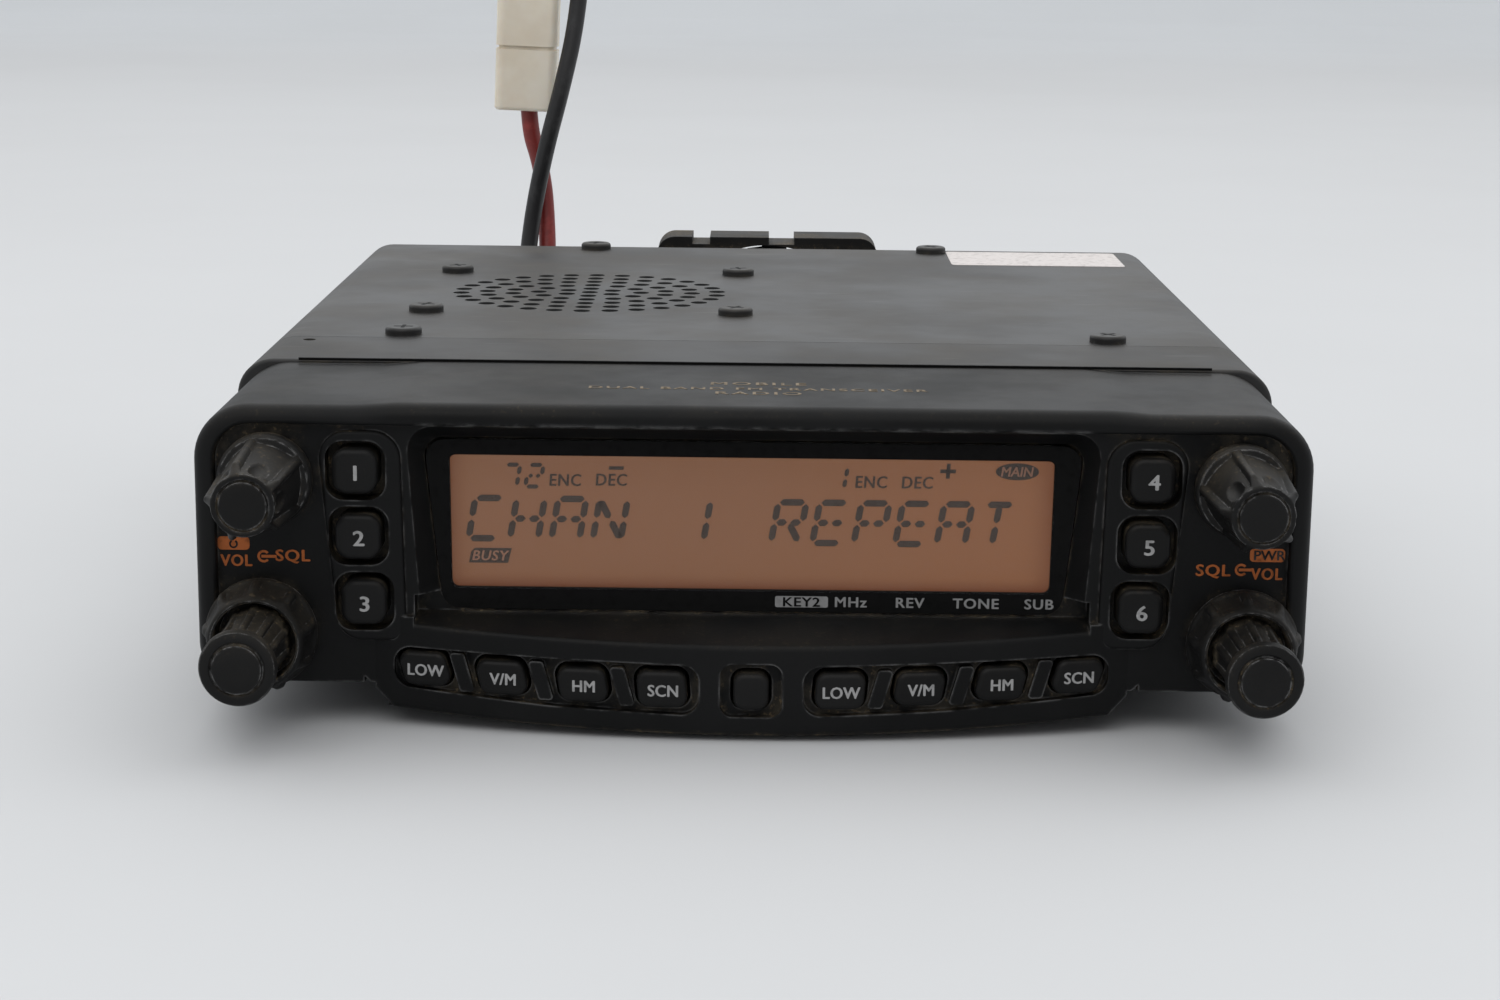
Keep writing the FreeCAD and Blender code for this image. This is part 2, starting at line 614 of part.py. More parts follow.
def volume_knob(label, side):
    knob = new_body(label, x=f"{side} * Sizes.volume_x", z="Sizes.volume_z")
    bore = size("shaft_radius") + size("running_gap")
    corners = [
        (bore, -4.0, 0), (4.4, -4.0, 0.2), (4.3, -7.0, 0), (3.85, -9.5, 2), (3.85, -13.4, 2),
        (4.6, -15.4, 0.5), (4.7, -17.7, 0.5), (3.5, -18.05, 0), (3.4, -17.7, 0), (3.15, -17.7, 0),
        (3.05, -18.5, 0.3), (0, -18.5, 0), (0, -15.6, 0), (bore, -15.6, 0),
    ]
    lathe(knob, "top", corners)
    rib = slab(knob, "front", "-14.9", "8.4", (rectangle, -0.5, 3.3, 1.0, 1.15))
    around(knob, [rib], 9)


def squelch_ring(label, side):
    ring = new_body(label, x=f"{side} * Sizes.volume_x", z="Sizes.volume_z")
    bore = size("shaft_radius") + size("running_gap")
    corners = [
        (bore, 8.2, 0), (3.0, 8.2, 0), (3.0, 0.6, 0), (5.3, 0.6, 0.3), (5.3, -0.4, 0), (7.0, -0.4, 0.3),
        (7.0, -1.3, 0.3), (6.45, -1.6, 0.2), (6.2, -5.3, 0.6), (5.4, -6.2, 0.3), (5.1, -5.9, 0),
        (4.95, -3.0, 0), (bore, -3.0, 0),
    ]
    lathe(ring, "top", corners)
    lug = slab(ring, "front", "-5.6", "4.6", (rectangle, -0.9, 5.6, 1.8, 1.45))
    around(ring, [lug], 7)


# ---------------------------------------------------------------- main unit

COVER_SCREWS = ((-50.3, 56.4), (50.3, 56.4), (-28.6, 156.6), (30.8, 156.6))
BOARD_POSTS = ((-59.0, 66.0), (59.0, 66.0), (-59.0, 124.0), (59.0, 124.0))
FLOOR_SCREWS = ((-58.0, 46.0), (58.0, 46.0), (-58.0, 150.0), (58.0, 150.0))


def speaker_screws():
    across, along = size("speaker_hole_x"), size("speaker_hole_y")
    middle_x, middle_y = size("speaker_x"), size("speaker_y")
    return [(middle_x + i * across, middle_y + j * along) for i in (-1, 1) for j in (-1, 1)]


def chassis():
    body = new_body("chassis")
    half = size("body_width") / 2
    top = size("body_height")
    start = "Sizes.panel_depth + Sizes.panel_seam"
    hull = [(-half, 1.0, 1.6), (half, 1.0, 1.6), (half, top, 5.0), (-half, top, 5.0)]
    slab(body, "front", start, f"Sizes.chassis_rear - ({start})", (outline, hull))
    soften(body, 0.5, on_plane("Y", size("panel_depth") + size("panel_seam")))
    thick = size("cover_thick") + 0.05
    step = top - size("cover_flange") - 0.1
    rebate = [
        (-half - 2, step, 0), (-half + thick, step, 0), (-half + thick, top - thick, 4.0),
        (half - thick, top - thick, 4.0), (half - thick, step, 0), (half + 2, step, 0),
        (half + 2, top + 3, 0), (-half - 2, top + 3, 0),
    ]
    slab(body, "front", "Sizes.cover_front - 0.15", "120", (outline, rebate), cut=True)
    inner = half - size("chassis_wall")
    floor = 1.0 + size("chassis_floor")
    slab(body, "top", floor, "40", (rounded, -inner, 60, 2 * inner, 92, 3), cut=True)
    slab(body, "front", "30", "26", (rounded, -inner + 4, 5.5, 2 * inner - 8, 32, 3), cut=True)

    block_top = 38.0
    fan_left = size("fan_x") - 20.5
    fan_right = fan_left + 41
    rear = [
        (-67.5, 3.0, 1), (67.5, 3.0, 1), (67.5, block_top, 1), (fan_right, block_top, 0),
        (fan_right, top - 1.2, 1), (fan_left, top - 1.2, 1), (fan_left, block_top, 0), (-67.5, block_top, 1),
    ]
    slab(body, "front", "Sizes.chassis_rear", "Sizes.fin_depth", (outline, rear))
    slots = []
    gap = size("fin_pitch") - size("fin_thick")
    for index in range(-17, 17):
        x = index * size("fin_pitch") + size("fin_thick") / 2
        beside_fan = fan_left - 1 < x + gap and x < fan_left + 42
        beside_antenna = abs(x + gap / 2 - size("antenna_x")) < 13.5
        beside_lead = abs(x + gap / 2 - size("lead_x")) < 9.0
        beside_jack = abs(x + gap / 2 - size("rear_jack_x")) < 7.0
        if not (beside_fan or beside_antenna or beside_lead or beside_jack) and abs(x + gap / 2) < 66:
            slots.append((rectangle, x, 1.5, gap, 40))
    slab(body, "front", "Sizes.chassis_rear + 1.5", "Sizes.fin_depth", *slots, cut=True)

    behind = ("front", "150", "30")
    slab(body, *behind, (circle, 16.4, "Sizes.fan_x", "Sizes.fan_z"), cut=True)
    slab(body, *behind, (circle, 6.1, "Sizes.antenna_x", "Sizes.socket_z"), cut=True)
    slab(body, *behind, (rounded, "Sizes.lead_x - 5.5", "Sizes.lead_z - 3", 11, 6, 2.9), cut=True)
    jacks = [(circle, 3.4, "Sizes.rear_jack_x", 28.5), (circle, 5.0, "Sizes.rear_jack_x", 14.5)]
    slab(body, *behind, *jacks, cut=True)
    fan_holes = fan_corners()
    slab(body, "front", "162", "10", *[(circle, 1.62, x, z) for x, z in fan_holes], cut=True)

    tapped = [(circle, "Sizes.bracket_hole", y, "Sizes.socket_z") for y in bracket_places()]
    slab(body, "side", "-Sizes.body_width / 2 - 1", "Sizes.body_width + 2", *tapped, cut=True)
    slab(body, "side", "-Sizes.body_width / 2 - 1", "12", (rectangle, 37.0, 9.0, 12.4, 8.4), cut=True)
    slab(body, "side", "Sizes.body_width / 2 - 11", "12", (rounded, 37.3, 20.3, 11.4, 7.4, 1.5), cut=True)

    slab(body, "top", floor - 0.5, "4.5", *[(circle, 3.2, x, y) for x, y in BOARD_POSTS])
    slab(body, "top", floor, "6", *[(circle, 1.2, x, y) for x, y in BOARD_POSTS], cut=True)
    shanks = [(circle, 1.47, x, y) for x, y in COVER_SCREWS]
    slab(body, "top", "33", "12", *shanks, cut=True)
    slab(body, "top", "0", "3.0", *[(circle, 1.47, x, y) for x, y in FLOOR_SCREWS], cut=True)
    slab(body, "top", "Sizes.body_height - 0.5", "2", (circle, 0.9, -62.8, 50.4), cut=True)


def bracket_places():
    return ["Sizes.bracket_y", "Sizes.bracket_y + Sizes.bracket_pitch"]


def fan_corners():
    reach = size("fan_size") / 2 - 4.0
    return [(size("fan_x") + i * reach, size("fan_z") + j * reach) for i in (-1, 1) for j in (-1, 1)]


def covers():
    cover = new_body("top_cover")
    half, top = size("body_width") / 2, size("body_height")
    thick = size("cover_thick")
    step = top - size("cover_flange")
    inside = half - thick
    channel = [
        (-half, step, 0), (-inside, step, 0), (-inside, top - thick, 4.0), (inside, top - thick, 4.0),
        (inside, step, 0), (half, step, 0), (half, top, 5.0), (-half, top, 5.0),
    ]
    slab(cover, "front", "Sizes.cover_front", "Sizes.chassis_rear - Sizes.cover_front", (outline, channel))
    holes = [(circle, 1.55, x, y) for x, y in list(COVER_SCREWS) + speaker_screws()]
    slab(cover, "top", "30", "20", *holes, cut=True)

    def grille(sketch):
        normal = Vector(0, 0, 1)
        centre = Vector(size("speaker_x"), size("speaker_y"), 0)
        block(sketch, Part.Circle(centre, normal, size("grille_hole")))
        for ring in range(1, 6):
            count = 6 * ring
            for index in range(count):
                angle = 2 * math.pi * (index + ring / 2) / count
                reach = Vector(math.cos(angle), math.sin(angle), 0) * ring * size("grille_pitch")
                block(sketch, Part.Circle(centre + reach, normal, size("grille_hole")))

    slab(cover, "top", "30", "20", (grille,), cut=True)

    plate = new_body("bottom_cover")
    slab(plate, "top", "0", "Sizes.cover_thick - 0.02", (rounded, -66, 40, 132, 116, 4))
    slab(plate, "top", "-1", "4", *[(circle, 1.55, x, y) for x, y in FLOOR_SCREWS], cut=True)
    slab(plate, "top", "-0.1", "0.65", *[(circle, 2.7, x, y) for x, y in FLOOR_SCREWS], cut=True)

    screws = new_body("housing_screws")
    places = list(COVER_SCREWS) + speaker_screws()
    slab(screws, "top", "Sizes.body_height", "1.15", *[(circle, 2.6, x, y) for x, y in places])
    soften(screws, 0.5, on_plane("Z", top + 1.15))
    shanks = [(circle, 1.4, x, y) for x, y in places]
    slab(screws, "top", "Sizes.body_height - 6", "6.1", *shanks)
    heads = [(circle, 2.5, x, y) for x, y in FLOOR_SCREWS]
    slab(screws, "top", "0.05", "0.45", *heads)
    slab(screws, "top", "0.3", "2.6", *[(circle, 1.4, x, y) for x, y in FLOOR_SCREWS])
    fan_back = size("chassis_rear") + size("fin_depth") + size("fan_thick") + 0.05
    slab(screws, "front", fan_back, "1.8", *[(circle, 2.8, x, z) for x, z in fan_corners()])
    soften(screws, 0.5, on_plane("Y", fan_back + 1.8))
    slab(screws, "front", fan_back - 15, "15.1", *[(circle, 1.55, x, z) for x, z in fan_corners()])


def speaker():
    frame = new_body("speaker_frame", x="Sizes.speaker_x", y=at_face("Sizes.speaker_y"))
    slab(frame, "top", "39.0", "1.3", (rounded, -26, -25, 52, 50, 3))
    basket = [
        (21.6, 40.3, 0), (22.8, 40.3, 0), (22.8, 38.0, 0), (14.0, 28.0, 0), (14.0, 27.2, 0),
        (12.0, 27.2, 0), (12.0, 28.6, 0), (21.6, 38.6, 0),
    ]
    slab(frame, "top", "38", "4", (circle, 21.7), cut=True)
    lathe(frame, "front", basket)
    magnet = [(0, 20.0, 0), (14.5, 20.0, 0.6), (14.5, 27.6, 0.6), (0, 27.6, 0)]
    lathe(frame, "front", magnet)
    across, along = "Sizes.speaker_hole_x", "Sizes.speaker_hole_y"
    holes = [(circle, 1.45, f"{i} * {across}", f"{j} * {along}") for i in (-1, 1) for j in (-1, 1)]
    slab(frame, "top", "30", "20", *holes, cut=True)
    cone = new_body("speaker_cone", x="Sizes.speaker_x", y=at_face("Sizes.speaker_y"))
    paper = [
        (0, 31.6, 0), (3.0, 31.0, 0), (6.2, 29.4, 0), (17.6, 37.4, 0), (19.2, 38.5, 0), (21.3, 38.2, 0),
        (21.3, 38.8, 0), (19.0, 39.2, 0), (17.2, 38.1, 0), (6.4, 30.6, 0), (3.2, 32.4, 0), (0, 33.2, 0),
    ]
    lathe(cone, "front", paper)


def boards():
    board = new_body("main_board")
    slab(board, "top", "8.0", "Sizes.board_thick", (rounded, -63.5, 62, 127, 66, 1.5))
    slab(board, "top", "7", "4", *[(circle, 1.25, x, y) for x, y in BOARD_POSTS], cut=True)
    screws = new_body("board_screws")
    slab(screws, "top", "9.6", "1.6", *[(circle, 2.4, x, y) for x, y in BOARD_POSTS])
    slab(screws, "top", "4.3", "5.5", *[(circle, 1.15, x, y) for x, y in BOARD_POSTS])
    parts = new_body("board_parts")
    top = "8.0 + Sizes.board_thick"
    cans = [(circle, 4.0, 14, 72), (circle, 4.0, 24, 72), (circle, 5.0, 36, 73), (circle, 3.0, -56, 84)]
    slab(parts, "top", top, "12", *cans)
    boxes = ((10, 84, 34, 22), (48, 84, 12, 30), (-56, 68, 26, 14), (8, 110, 36, 14))
    slab(parts, "top", top, "5.5", *[(rectangle, *box) for box in boxes])
    chips = ((-22, 66, 14, 14), (-4, 66, 9, 6), (-48, 92, 12, 12), (-30, 106, 9, 9))
    slab(parts, "top", top, "1.6", *[(rectangle, *chip) for chip in chips])
    slab(parts, "top", top, "9", (rectangle, -8, 84, 12, 10), (rectangle, -8, 98, 12, 10))
    module = new_body("rf_module")
    slab(module, "top", "4.0", "8.5", (rectangle, -20, 132, 62, 16))
    slab(module, "top", "4.0", "2.4", (rectangle, -25, 132, 72, 16))
    slab(module, "top", "3", "6", (circle, 1.6, -22.5, 140), (circle, 1.6, 44.5, 140), cut=True)


def fan():
    middle = ("Sizes.fan_x", at_face("Sizes.chassis_rear + Sizes.fin_depth"), "Sizes.fan_z")
    half = size("fan_size") / 2
    reach = half - 4.0
    frame = new_body("fan_frame", *middle)
    square = (rounded, -half, -half, "Sizes.fan_size", "Sizes.fan_size", 3.2)
    slab(frame, "front", "0.05", "Sizes.fan_thick", square)
    slab(frame, "front", "-1", "20", (circle, 18.6), cut=True)
    slab(frame, "front", "Sizes.fan_thick - 1.2", "1.25", (circle, 9.0))
    strut = slab(frame, "front", "Sizes.fan_thick - 1.2", "1.25", (rectangle, -1.0, 8.0, 2.0, 11.4))
    around(frame, [strut], 4)
    slab(frame, "front", "2.5", "7.0", (circle, 1.5))
    corners = [(circle, 1.75, i * reach, j * reach) for i in (-1, 1) for j in (-1, 1)]
    slab(frame, "front", "-1", "20", *corners, cut=True)
    notches = [(rectangle, -13.6, half - 1.3, 3.2, 4), (rectangle, 0.3, half - 1.25, 4.6, 4)]
    slab(frame, "front", "-1", "20", *notches, cut=True)
    rotor = new_body("fan_rotor", *middle)
    slab(rotor, "front", "1.0", "7.4", (circle, 9.6))
    soften(rotor, 0.8, on_plane("Y", 1.0))
    slab(rotor, "front", "2.2", "7.0", (circle, "1.5 + Sizes.running_gap"), cut=True)
    blade_section = [(-3.6, 1.4, 0), (-2.3, 1.4, 0), (3.6, 8.0, 0), (2.3, 8.0, 0)]
    blade = slab(rotor, "top", "9.0", "8.9", (outline, blade_section))
    around(rotor, [blade], 7)


def rear_sockets():
    back = size("chassis_rear") + size("fin_depth")
    socket = new_body("antenna_socket", x="Sizes.antenna_x", z="Sizes.socket_z")
    lathe(socket, "top", [
        (4.6, back - 10, 0), (6.0, back - 10, 0), (6.0, back + 0.03, 0), (10.5, back + 0.03, 0),
        (10.5, back + 2.3, 0.4), (7.9, back + 2.3, 0), (7.9, back + 13.0, 0.5), (6.1, back + 13.0, 0),
        (6.1, back + 4.0, 0), (4.6, back + 4.0, 0),
    ])
    core = new_body("antenna_core", x="Sizes.antenna_x", z="Sizes.socket_z")
    lathe(core, "top", [
        (0, back - 14, 0), (1.2, back - 14, 0), (1.2, back - 10, 0), (4.55, back - 10, 0),
        (4.55, back + 5.0, 0), (2.6, back + 5.0, 0), (2.6, back + 11.5, 0.3), (1.9, back + 11.5, 0),
        (1.9, back + 3.0, 0), (0, back + 3.0, 0),
    ])
    jack = new_body("speaker_jack", x="Sizes.rear_jack_x", z="28.5")
    lathe(jack, "top", [
        (1.8, back - 12, 0), (3.3, back - 12, 0), (3.3, back + 0.03, 0), (4.6, back + 0.03, 0),
        (4.6, back + 1.6, 0.4), (1.8, back + 1.6, 0),
    ])
    data = new_body("data_jack", x="Sizes.rear_jack_x", z="14.5")
    lathe(data, "top", [
        (0, back - 12, 0), (4.9, back - 12, 0), (4.9, back + 0.03, 0), (6.2, back + 0.03, 0),
        (6.2, back + 1.2, 0.4), (4.2, back + 1.2, 0), (4.2, back - 6.0, 0), (0, back - 6.0, 0),
    ])
    pin = slab(data, "front", back - 6.5, "5.5", (circle, 0.4, "0", 2.4))
    around(data, [pin], 6)
    grommet = new_body("dc_grommet", x="Sizes.lead_x", z="Sizes.lead_z")
    slab(grommet, "front", back - 12, "12.05", (rounded, -5.4, -2.9, 10.8, 5.8, 2.8))
    slab(grommet, "front", back + 0.05, "2.4", (rounded, -7.4, -4.9, 14.8, 9.8, 4.7))
    soften(grommet, 0.9, on_plane("Y", back + 2.45))
    leads = [(circle, "Sizes.lead_radius + 0.03", i * 2.1) for i in (-1, 1)]
    slab(grommet, "front", back - 15, "20", *leads, cut=True)


def side_fittings():
    jack = new_body("mic_jack", x="-Sizes.body_width / 2")
    slab(jack, "side", "0.05", "11.0", (rectangle, 37.1, 9.1, 12.2, 8.2))
    slab(jack, "side", "-1", "10", (rectangle, 38.3, 10.0, 9.8, 5.6), cut=True)
    slab(jack, "side", "-1", "10", (rectangle, 41.2, 15.5, 4.0, 1.2), cut=True)
    contacts = [(rectangle, 40.2 + 1.27 * index, 9.9, 0.5, 1.0) for index in range(6)]
    slab(jack, "side", "2.5", "6.6", *contacts)
    button = new_body("release_button", x="Sizes.body_width / 2")
    slab(button, "side", "-8.4", "8.0", (rounded, 37.8, 20.8, 10.4, 6.4, 1.2))
    soften(button, 0.6, on_plane("X", -0.4))
    ribs = [(rectangle, 39.6 + 1.9 * index, 21.6, 0.8, 4.8) for index in range(4)]
    slab(button, "side", "-0.5", "0.4", *ribs)
    plug = new_body("contact_plug")
    start = size("panel_depth") + size("panel_seam")
    slab(plug, "front", start, "6.0", (rounded, -11, 17, 22, 7, 1))
    slab(plug, "front", start + 6.0, "1.6", (rectangle, -58, 5.5, 116, 32))
    pins = [(circle, 0.35, -8.75 + 2.5 * index, 20.5) for index in range(8)]
    slab(plug, "front", start - 1.3, "2", *pins)


# ---------------------------------------------------------------- supply lead

RED_ROUTE = (
    (-40.4, 162.0, 15.0), (-40.4, 174.0, 15.0), (-40.3, 185.5, 19.0), (-40.1, 193.8, 28.0),
    (-40.3, 198.0, 39.5), (-41.3, 200.0, 51.0), (-44.6, 200.0, 61.0), (-43.3, 200.0, 98.0),
    (-41.9, 199.5, 110.0),
)
BLACK_ROUTE = (
    (-44.6, 162.0, 15.0), (-44.6, 174.0, 15.0), (-44.6, 185.5, 19.2), (-44.3, 192.6, 29.0),
    (-43.3, 195.4, 41.5), (-40.5, 194.3, 55.2), (-37.2, 193.6, 67.2), (-34.6, 195.8, 79.0),
    (-33.2, 198.2, 94.8), (-35.6, 199.5, 110.0),
)
HOLDER_SIZE = (11.6, 8.0, 33.0)
PLUG_SIZE = (14.5, 8.0, 19.0)


def routed_tube(label, route):
    """A round wire whose straight runs are joined by the largest arcs that they leave room for."""
    base = Vector(0, size("face_y"), 0)
    points = [Vector(*point) + base for point in route]
    radius = size("lead_radius")
    cursor, edges, bends = points[0], [], []
    for before, here, after in zip(points, points[1:], points[2:]):
        inward, outward = before - here, after - here
        shorter = min(inward.Length, outward.Length)
        inward.normalize()
        outward.normalize()
        half = inward.getAngle(outward) / 2
        bend = 0.45 * shorter * math.tan(half)
        first, last = here + inward * 0.45 * shorter, here + outward * 0.45 * shorter
        crown = here + (inward + outward).normalize() * (bend / math.sin(half) - bend)
        edges.append(Part.LineSegment(cursor, first).toShape())
        edges.append(Part.Arc(first, crown, last).toShape())
        bends.append(round(bend, 1))
        cursor = last
    edges.append(Part.LineSegment(cursor, points[-1]).toShape())
    path = Part.Wire(edges)
    start = points[1] - points[0]
    ring = Part.Wire([Part.Circle(points[0], start, radius).toShape()])
    tube = path.makePipeShell([ring], True, False)
    expected = math.pi * radius ** 2 * path.Length
    share = tube.Volume / expected
    print(f"{label}: length {path.Length:.1f}, bend radii {bends}, volume {share:.4f} of expected")
    item = doc.addObject("Part::Feature", "Wire_" + label)
    item.Label = label
    item.Shape = tube
    subparts.append(item)


def supply_lead():
    routed_tube("lead_red", RED_ROUTE)
    routed_tube("lead_black", BLACK_ROUTE)
    foot, head = Vector(*RED_ROUTE[-3]), Vector(*RED_ROUTE[-2])
    run = head - foot
    lean = math.degrees(math.atan2(run.x, run.z))
    wide, deep, tall = HOLDER_SIZE
    start = foot + run * 0.045
    place = (start.x, at_face(start.y), start.z)
    holder = new_body("fuse_holder", *place, turn=(Vector(0, 1, 0), lean))
    slab(holder, "top", "0", tall, (rounded, -wide / 2, -deep / 2, wide, deep, 1.6))
    soften(holder, 0.7, lambda edge: on_plane("Z", 0)(edge) or on_plane("Z", tall)(edge))
    groove = [
        (rectangle, -wide, -deep, 2 * wide, 2 * deep),
        (rounded, -wide / 2 + 0.5, -deep / 2 + 0.5, wide - 1, deep - 1, 1.2),
    ]
    slab(holder, "top", "11.5", "0.7", *groove, cut=True)
    slab(holder, "top", "-2", tall + 5, (circle, "Sizes.lead_radius + 0.03"), cut=True)
    wide, deep, tall = PLUG_SIZE
    red, black = Vector(*RED_ROUTE[-1]), Vector(*BLACK_ROUTE[-1])
    middle = (red + black) / 2
    plug = new_body("power_plug", middle.x, at_face(middle.y), middle.z)
    slab(plug, "top", "0", tall, (rounded, -wide / 2, -deep / 2, wide, deep, 1.0))
    soften(plug, 0.5, on_plane("Z", 0))
    sockets = [(rounded, i * 3.3 - 1.9, -1.9, 3.8, 3.8, 0.5) for i in (-1, 1)]
    slab(plug, "top", "6", tall, *sockets, cut=True)


# ---------------------------------------------------------------- the whole radio

panel_shell()
window_lens()
display_parts()
panel_board()
key_switches()
panel_back()
contact_block()
control_bodies()
for word, side in (("left", -1), ("right", 1)):
    dial_knob(f"dial_knob_{word}", side)
    volume_knob(f"volume_knob_{word}", side)
    squelch_ring(f"squelch_ring_{word}", side)
for side, first in ((-1, 1), (1, 4)):
    for index, (x, z) in enumerate(UPPER_KEYS):
        upper_key(f"key_{first + index}", side * x, z)
for key in low_keys():
    low_key(key)
chassis()
covers()
speaker()
boards()
fan()
rear_sockets()
side_fittings()
supply_lead()

# ---------------------------------------------------------------- check and write

doc.recompute()
faults = []
for item in doc.Objects:
    if "Invalid" in item.State or "Error" in item.State:
        faults.append(f"{item.Label} ({item.Name}): {item.State}")
for item in subparts:
    if item.Shape.isNull() or not item.Shape.isValid() or not item.Shape.Solids:
        faults.append(f"{item.Label}: no valid solid")
if faults:
    sys.exit("\n".join(faults))
os.makedirs("parts", exist_ok=True)
for item in subparts:
    item.Shape.exportStep(os.path.join("parts", item.Label + ".step"))
    print(f"{item.Label:22s} {len(item.Shape.Solids):3d} solids {item.Shape.Volume:12.2f} mm3")
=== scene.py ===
"""Looks of a compact mobile transceiver: worn mouldings, amber display, round knobs and a supply lead."""

import math

import bmesh
import bpy
from mathutils import Matrix, Vector


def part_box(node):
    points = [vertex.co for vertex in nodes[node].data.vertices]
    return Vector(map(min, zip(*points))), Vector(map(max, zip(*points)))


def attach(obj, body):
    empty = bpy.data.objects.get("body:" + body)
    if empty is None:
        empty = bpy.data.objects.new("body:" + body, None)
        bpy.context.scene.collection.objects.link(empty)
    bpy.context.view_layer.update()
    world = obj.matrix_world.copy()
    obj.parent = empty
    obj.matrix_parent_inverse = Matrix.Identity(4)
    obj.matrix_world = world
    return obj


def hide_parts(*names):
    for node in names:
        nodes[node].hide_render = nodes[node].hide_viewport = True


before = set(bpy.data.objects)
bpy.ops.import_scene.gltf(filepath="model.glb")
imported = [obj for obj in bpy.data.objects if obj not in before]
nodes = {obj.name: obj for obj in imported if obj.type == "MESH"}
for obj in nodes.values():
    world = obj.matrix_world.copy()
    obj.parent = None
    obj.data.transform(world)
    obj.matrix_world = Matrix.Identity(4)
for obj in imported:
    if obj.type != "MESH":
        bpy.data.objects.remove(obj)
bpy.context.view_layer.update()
MM = 0.001

# ---------------------------------------------------------------- places taken from the frame


def span(node):
    """Lowest and highest corner of a node, in millimetres."""
    low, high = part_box(node)
    return low / MM, high / MM


LENS_LOW, LENS_HIGH = span("window_lens")
GLASS_LOW = span("lcd_glass")[0]
COVER_HIGH = span("top_cover")[1]
LENS_SET_BACK = 3.9
RIM = LENS_LOW.y - LENS_SET_BACK
FACE = RIM + 1.4
BORDER = LENS_LOW.y - 0.01
SEGMENTS = GLASS_LOW.y - 0.12
LAYER_STEP = 0.004
HEAD_TOP = span("housing_screws")[1].z
PANEL_KEYS = ["key_1", "key_2", "key_3", "key_4", "key_5", "key_6"]
LOW_KEYS = ["low", "vm", "hm", "scan"]
HANDS = ["left", "right"]

# ---------------------------------------------------------------- shader node groups


def new_group(name, inputs, outputs):
    """A shader node group with named sockets; inputs are (kind, name, value)."""
    group = bpy.data.node_groups.new(name, "ShaderNodeTree")
    for kind, title, value in inputs:
        socket = group.interface.new_socket(name=title, in_out="INPUT", socket_type="NodeSocket" + kind)
        socket.default_value = value
    for kind, title in outputs:
        group.interface.new_socket(name=title, in_out="OUTPUT", socket_type="NodeSocket" + kind)
    start = group.nodes.new("NodeGroupInput")
    end = group.nodes.new("NodeGroupOutput")
    return group, start, end


def add(tree, kind, **settings):
    """A node with plain properties, such as its operation or its count of samples."""
    node = tree.nodes.new("ShaderNode" + kind)
    for key, value in settings.items():
        if hasattr(node, key):
            setattr(node, key, value)
    return node


def feed(tree, node, **sources):
    """Link or set sockets; an underscore in a key stands for a space in the socket's name."""
    for key, source in sources.items():
        socket = node.inputs[key.replace("_", " ")] if not key.startswith("n") else node.inputs[int(key[1:])]
        if isinstance(source, bpy.types.NodeSocket):
            tree.links.new(source, socket)
        else:
            socket.default_value = source
    return node


def maths(tree, operation, first, second=0.0, clamp=False):
    node = add(tree, "Math", operation=operation, use_clamp=clamp)
    feed(tree, node, n0=first, n1=second)
    return node.outputs[0]


def ramp(tree, value, low, high):
    """Map low..high onto 0..1, softly and clamped."""
    node = add(tree, "MapRange", interpolation_type="SMOOTHSTEP")
    feed(tree, node, Value=value, From_Min=low, From_Max=high)
    return node.outputs[0]


def noise(tree, scale, detail=3.0, roughness=0.55, vector=None):
    node = add(tree, "TexNoise")
    feed(tree, node, Scale=scale, Detail=detail, Roughness=roughness)
    if vector is None:
        vector = add(tree, "TexCoord").outputs["Object"]
    tree.links.new(vector, node.inputs["Vector"])
    return node.outputs["Fac"]


def grain_group():
    """The fine spark-eroded grain of a mould, with a slow unevenness under it."""
    group, start, end = new_group(
        "mould grain",
        [("Float", "Grain scale", 4500.0), ("Float", "Waviness", 0.25)],
        [("Float", "Height")],
    )
    fine = noise(group, start.outputs["Grain scale"], 2.0, 0.6)
    slow = noise(group, 160.0, 2.0)
    uneven = maths(group, "MULTIPLY", slow, start.outputs["Waviness"])
    height = maths(group, "ADD", fine, uneven)
    group.links.new(height, end.inputs["Height"])
    return group


def wear_group():
    """Edges rubbed bright: where the rounded-over normal leaves the true one, broken up by noise."""
    group, start, end = new_group(
        "edge wear",
        [("Float", "Width", 0.0004), ("Float", "Amount", 1.0), ("Float", "Patchiness", 300.0)],
        [("Float", "Mask")],
    )
    geometry = add(group, "NewGeometry")
    bevel = add(group, "Bevel", samples=6)
    feed(group, bevel, Radius=start.outputs["Width"])
    product = add(group, "VectorMath", operation="DOT_PRODUCT")
    feed(group, product, n0=bevel.outputs["Normal"], n1=geometry.outputs["Normal"])
    turned = maths(group, "SUBTRACT", 1.0, product.outputs["Value"])
    edge = ramp(group, turned, 0.015, 0.16)
    patches = ramp(group, noise(group, start.outputs["Patchiness"], 4.0, 0.65), 0.38, 0.66)
    bare = maths(group, "MULTIPLY", edge, patches)
    mask = maths(group, "MULTIPLY", bare, start.outputs["Amount"], clamp=True)
    group.links.new(mask, end.inputs["Mask"])
    return group


